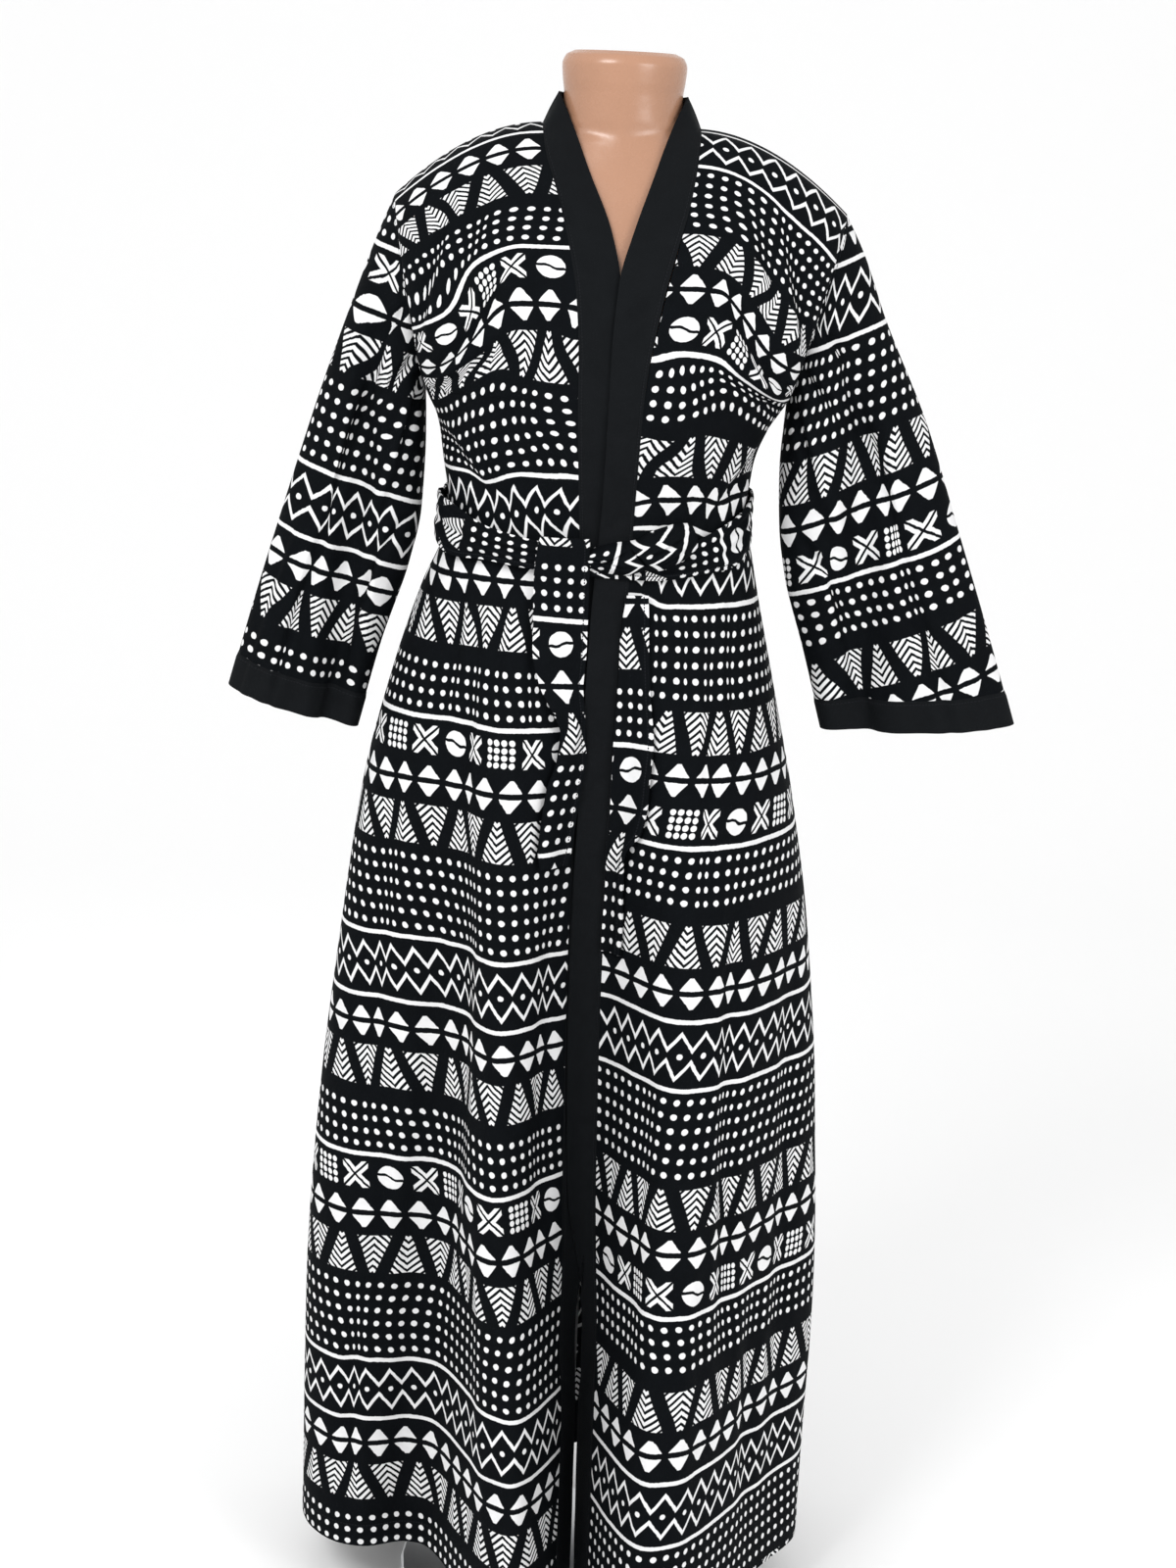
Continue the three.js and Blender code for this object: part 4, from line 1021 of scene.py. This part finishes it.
def dress_sleeve(hand):
    """A sleeve and its cuff, which starts at the sleeve's last ring."""
    word = WORD[hand]
    last = SLEEVE_RINGS - 1
    tube_rings = np.linspace(0, CUFF_SHARE, SLEEVE_RINGS)
    rings = np.concatenate([tube_rings, np.linspace(CUFF_SHARE, 1, CUFF_RINGS)[1:]])
    angle = np.linspace(0, 2 * np.pi, 145)[:-1]
    along, around = np.meshgrid(rings, angle, indexing="ij")
    grid = sleeve_points(hand, along, around)
    relief, push = sleeve_relief(hand, along, around)
    if hand > 0:
        grid, relief, push = grid[:, ::-1], relief[:, ::-1], push[:, ::-1]
    arm = sleeve[hand]
    start = np.array([arm.topX(0.0), 0, arm.topZ(0.0)])
    run = unit(np.array([arm.topX(1.0), 0, arm.topZ(1.0)]) - start)
    down = (grid - start) @ run
    across = lengths_round(grid - down[..., None] * run) + push
    grid = dressed(grid, relief, closed=True)
    uv = printed_place(across, down, SLEEVE_PRINT[hand])
    seam = together(across, rings[:, None] * SLEEVE_LENGTH)[:SLEEVE_RINGS]
    tube, tube_uv = grid[:SLEEVE_RINGS], uv[:SLEEVE_RINGS]
    tube = shell(f"robe_sleeve_{word}", tube, tube_uv, PRINTED_CLOTH, printed, seam, closed=True)
    proud = smooth(np.arange(CUFF_RINGS) / 2)[:, None] * 0.8 + 0.3
    cuff = dressed(grid[last:], np.broadcast_to(proud, grid[last:].shape[:2]), closed=True)
    seam = together(across[last:], (rings[last:, None] - CUFF_SHARE) * SLEEVE_LENGTH)
    return tube, shell(f"robe_cuff_{word}", cuff, uv[last:], BLACK_CLOTH, black, seam, closed=True)


# Where the belt's print is at the middle of the front, and how far it jumps there behind the knot.
BELT_PRINT = 254
BELT_PRINT_STEP = 50
# Half of the belt's width round the waist. It is drawn narrow behind the knot.
BELT_WIDTH = table("angle half", [
    (-180, 18), (-90, 20), (-62, 24),
    (-36, 15), (0, 13), (30, 15),
    (56, 20), (90, 20), (180, 18),
])


def dress_belt():
    """The belt's turn round the waist, gathered into soft pleats along it."""
    line = curve(BELT_LINE, "angle", "drop")
    half = curve(BELT_WIDTH, "angle", "half")
    angle = np.linspace(-180, 180, 541)[:-1]
    row = np.linspace(-1, 1, 33)
    degrees, place = np.meshgrid(angle, row, indexing="xy")
    drop = line(degrees) + place * half(degrees)
    in_front = np.abs(degrees) < 90
    turn = np.arcsin(np.sin(np.radians(degrees)))
    under = np.where(in_front[..., None], body(-1, drop, turn), body(1, drop, turn))
    lift = np.where(in_front, OVERLAP_LIFT * overlap(drop, under[..., 0]), 0)
    off = DOUBLED + BELT_CLEAR + lift + BELT_SWELL * (1 - place**4)
    drawn = 1 - smooth((np.abs(degrees - 5) - 20) / 60)
    pleats = np.sin(place * 9 + np.radians(degrees) * 2.3) * (0.8 + drawn) * (1 - place**4)
    pleats = pleats + uneven(degrees, place * 20, 35, 2) * 0.7
    grid = dressed(under, off + pleats, closed=True)
    middle, foremost = len(row) // 2, len(angle) // 2
    along = lengths_round(grid)[[middle]]
    along = along - along[:, [foremost]] + BELT_PRINT + BELT_PRINT_STEP * smooth(degrees / 25)
    seam = together(along, (1 - place) * half(degrees))
    uv = together(place * BELT_CLOTH_HALF, along)
    return shell("belt_turn", grid, uv, BELT_CLOTH, printed, seam, closed=True)


def dress_belt_end(name, rows, seed, start, tuck):
    """A hanging end, with a fold down its middle and a tuck across it."""
    end = curves(rows)
    drops = np.linspace(rows["drop"][0], rows["drop"][-1], 120)
    share = np.linspace(-1, 1, 21)
    drop, s = np.meshgrid(drops, share, indexing="ij")
    x = end.x(drop) + s * end.half(drop)
    grid = off_front(drop, x, end.off(drop))
    twist = bump((drop - tuck) / 26)
    slant = s * 4.2 + (drop - tuck) / 17 + seed
    relief = 1.2 * np.cos(s * 3.3 + seed) + uneven(drop, s * 25, 70, seed) + twist * 2.0 * (1 + np.sin(slant))
    over_belt = 3.2 * smooth((BELT_LOW_EDGE - drop) / 14)
    seam = together(drop, (1 - s) * end.half(drop))
    uv = together(s * (end.half(drop) + 3), drop - start)
    return shell(name, dressed(grid, relief + over_belt), uv, BELT_CLOTH, printed, seam)


# The knot's middle line, the half of its height, and how far it stands off the front at its crown.
KNOT = table("share x drop half crown", [
    (0, -14, 375, 7, 13), (0.14, -2, 374, 12, 19), (0.38, 20, 372, 16, 23),
    (0.5, 32, 369, 15, 21.5), (0.68, 48, 364, 19, 23.5), (0.86, 64, 357, 18, 20),
    (1, 78, 351, 13, 12),
])
# Creases of the knot: share and place across at both ends, half of the width, and depth.
KNOT_CREASES = [
    (0.04, 0.5, 0.5, -0.75, 0.16, -3.4), (0.02, -0.3, 0.44, 0.7, 0.15, -2.6),
    (0.42, -0.9, 0.56, 0.9, 0.16, -4), (0.5, 0.1, 0.98, -0.35, 0.17, -3),
    (0.54, 0.75, 0.96, 0.3, 0.16, -2.6), (0.6, -0.8, 1, -0.75, 0.15, -2),
]


KNOT_PRINT = 208.5  # the print's line that crosses the knot
KNOT_PRINT_X = 11.5


def dress_knot():
    """The flat knot: a band drawn tightly round the belt, creased where it turns under."""
    knot = curves(KNOT)
    share, place = np.meshgrid(np.linspace(0, 1, 110), np.linspace(-1, 1, 61), indexing="ij")
    x = knot.x(share) + place * knot.half(share) * 0.24
    drop = knot.drop(share) + place * knot.half(share) * 0.97
    relief = 0
    for share0, place0, share1, place1, width, depth in KNOT_CREASES:
        run = (share - share0) / (share1 - share0)
        fade = smooth(run * 3) * smooth((1 - run) * 3)
        relief = relief + depth * bump((place - mix(place0, place1, run)) / width) * fade
    round_off = np.sqrt(np.maximum(0, 1 - place**2))
    off = KNOT_RIM + (knot.crown(share) - KNOT_RIM + relief) * round_off
    along = KNOT_PRINT + (x - KNOT_PRINT_X) * 1.12 + place * 4
    no_stitches = together(along, 9 + 0 * place)
    uv = together(place * 21, along)
    grid, uv, seam = (a[:, ::-1] for a in (off_front(drop, x, off), uv, no_stitches))
    return shell("belt_knot_folds", grid, uv, KNOT_CLOTH, printed, seam)


def form_body():
    """The dress form, in close rings, with a flat top and underside."""
    torso, neck, rim = np.linspace(790, 1370, 120), np.linspace(1372, 1476, 90), np.linspace(1476.5, 1483, 20)
    levels = np.concatenate([torso, neck, rim])
    angle = np.linspace(0, 2 * np.pi, 193)[:-1]
    z, around = np.meshgrid(levels, angle, indexing="ij")
    power = 2 / form.square(z)
    x = np.sign(np.cos(around)) * form.half(z) * np.abs(np.cos(around)) ** power
    deep = np.where(np.sin(around) < 0, -form.front(z), form.back(z))
    y = deep * np.abs(np.sin(around)) ** power
    grid = np.stack([x, y, z], -1)
    shrunk = np.linspace(0.02, 0.98, 12)
    caps = [grid[0] * [k, k, 1] for k in shrunk]
    tops = [grid[-1] * [k, k, 1] for k in shrunk[::-1]]
    grid = np.array([*caps, *grid, *tops])
    uv = np.stack([np.broadcast_to(angle * 120, grid.shape[:2]), grid[..., 2]], -1)
    number = np.arange(grid.shape[0] * grid.shape[1]).reshape(grid.shape[:2])
    step = np.roll(number, -1, axis=1)
    quads = np.stack([number[:-1], step[:-1], step[1:], number[1:]], -1).reshape(-1, 4)
    piece = mesh_object("form_body", grid.reshape(-1, 3), quads, uv.reshape(-1, 2), plastic, sharp=40)
    ends = bmesh.new()
    ends.from_mesh(piece.data)
    bmesh.ops.holes_fill(ends, edges=[e for e in ends.edges if e.is_boundary])
    ends.to_mesh(piece.data)
    ends.free()
    return piece


front_right, band_right = dress_front(-1), dress_band(-1)
front_left, band_left = dress_front(1), dress_band(1)
back, neckline = dress_back()
neck_band = dress_neck_band(neckline)
sleeve_right, cuff_right = dress_sleeve(-1)
sleeve_left, cuff_left = dress_sleeve(1)
belt = dress_belt()
knot = dress_knot()
end_right = dress_belt_end("belt_tail_right", RIGHT_END, 1, 430, 528)
end_left = dress_belt_end("belt_tail_left", LEFT_END, 4, 538, 640)


def stands_for(piece, node):
    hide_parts(node)
    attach(piece, "root")


# Each cloth piece's cut in metres, across and along the cloth, its area, and how it is held.
CLOTH_PIECES = (
    (front_right, "front_right", "printed_cotton", (0.44, 1.44), 0.42, "draped", ["form_torso"]),
    (front_left, "front_left", "printed_cotton", (0.41, 1.44), 0.41, "draped", ["form_torso"]),
    (back, "back_panel", "printed_cotton", (0.84, 1.43), 0.84, "draped", ["form_torso"]),
    (sleeve_right, "sleeve_right", "printed_cotton", (0.36, 0.45), 0.126, "hung", ["robe_front_right"]),
    (sleeve_left, "sleeve_left", "printed_cotton", (0.41, 0.46), 0.147, "hung", ["robe_front_left"]),
    (cuff_right, "cuff_right", "black_cotton", (0.33, 0.04), 0.0115, "hung", ["robe_sleeve_right"]),
    (cuff_left, "cuff_left", "black_cotton", (0.40, 0.04), 0.014, "hung", ["robe_sleeve_left"]),
    (neck_band, "neck_band", "black_cotton", (0.19, 0.041), 0.0071, "stretched", ["robe_back"]),
    (band_right, "front_band_right", "black_cotton", (0.04, 1.43), 0.053, "hung", ["robe_front_right"]),
    (band_left, "front_band_left", "black_cotton", (0.04, 1.43), 0.051, "hung", ["robe_front_left"]),
    (belt, "belt_waist", "printed_cotton", (0.048, 0.81), 0.032, "stretched",
     ["robe_front_left", "robe_back"]),
    (knot, "belt_knot", "printed_cotton", (0.05, 0.11), 0.0054, "folded", ["belt_turn"]),
    (end_right, "belt_end_right", "printed_cotton", (0.048, 0.30), 0.0128, "hung", ["belt_turn"]),
    (end_left, "belt_end_left", "printed_cotton", (0.038, 0.33), 0.0107, "hung", ["belt_turn"]),
)
for piece, node, slot, flat, area, held, rests_on in CLOTH_PIECES:
    stands_for(piece, node)
stands_for(form_body(), "form_torso")

for node in ("form_pole", "form_base"):
    for slot in bpy.data.objects[node].material_slots:
        slot.material = steel

# A floor that curves up behind the robe, and light
FLOOR_REACH = 9.0
BEND_AT = 2.5
BEND = 3.0
floor = bpy.data.objects.new("floor", bpy.data.meshes.new("floor"))
sweep = [(-FLOOR_REACH, 0.0), (BEND_AT, 0.0)]
bend = np.linspace(0, math.pi / 2, 25)[1:]
sweep += [(BEND_AT + BEND * math.sin(a), BEND - BEND * math.cos(a)) for a in bend]
sweep += [(BEND_AT + BEND, FLOOR_REACH)]
corners = [(x, y, z) for y, z in sweep for x in (-FLOOR_REACH, FLOOR_REACH)]
faces = [(2 * k, 2 * k + 1, 2 * k + 3, 2 * k + 2) for k in range(len(sweep) - 1)]
floor.data.from_pydata(corners, [], faces)
floor.data.shade_smooth()
bpy.context.collection.objects.link(floor)
pale, _, shader = new_material("floor_pale")
shader.inputs["Base Color"].default_value = (0.9, 0.9, 0.9, 1)
shader.inputs["Roughness"].default_value = 0.9
floor.data.materials.append(pale)

world = bpy.data.worlds.new("studio")
world.use_nodes = True
world.node_tree.nodes["Background"].inputs["Color"].default_value = (1, 1, 1, 1)
bpy.context.scene.world = world
bpy.context.scene.view_settings.view_transform = "Standard"


def area_light(name, place, target, size, power):
    lamp = bpy.data.lights.new(name, "AREA")
    lamp.size = size
    lamp.energy = power
    piece = bpy.data.objects.new(name, lamp)
    piece.location = place
    piece.rotation_euler = (Vector(target) - Vector(place)).to_track_quat("-Z", "Y").to_euler()
    bpy.context.collection.objects.link(piece)


area_light("key", (-1.5, -2.4, 3.0), (0, 0, 0.95), 1.2, 60)
area_light("fill", (1.9, -2.2, 2.0), (0, 0, 0.9), 1.2, 26)
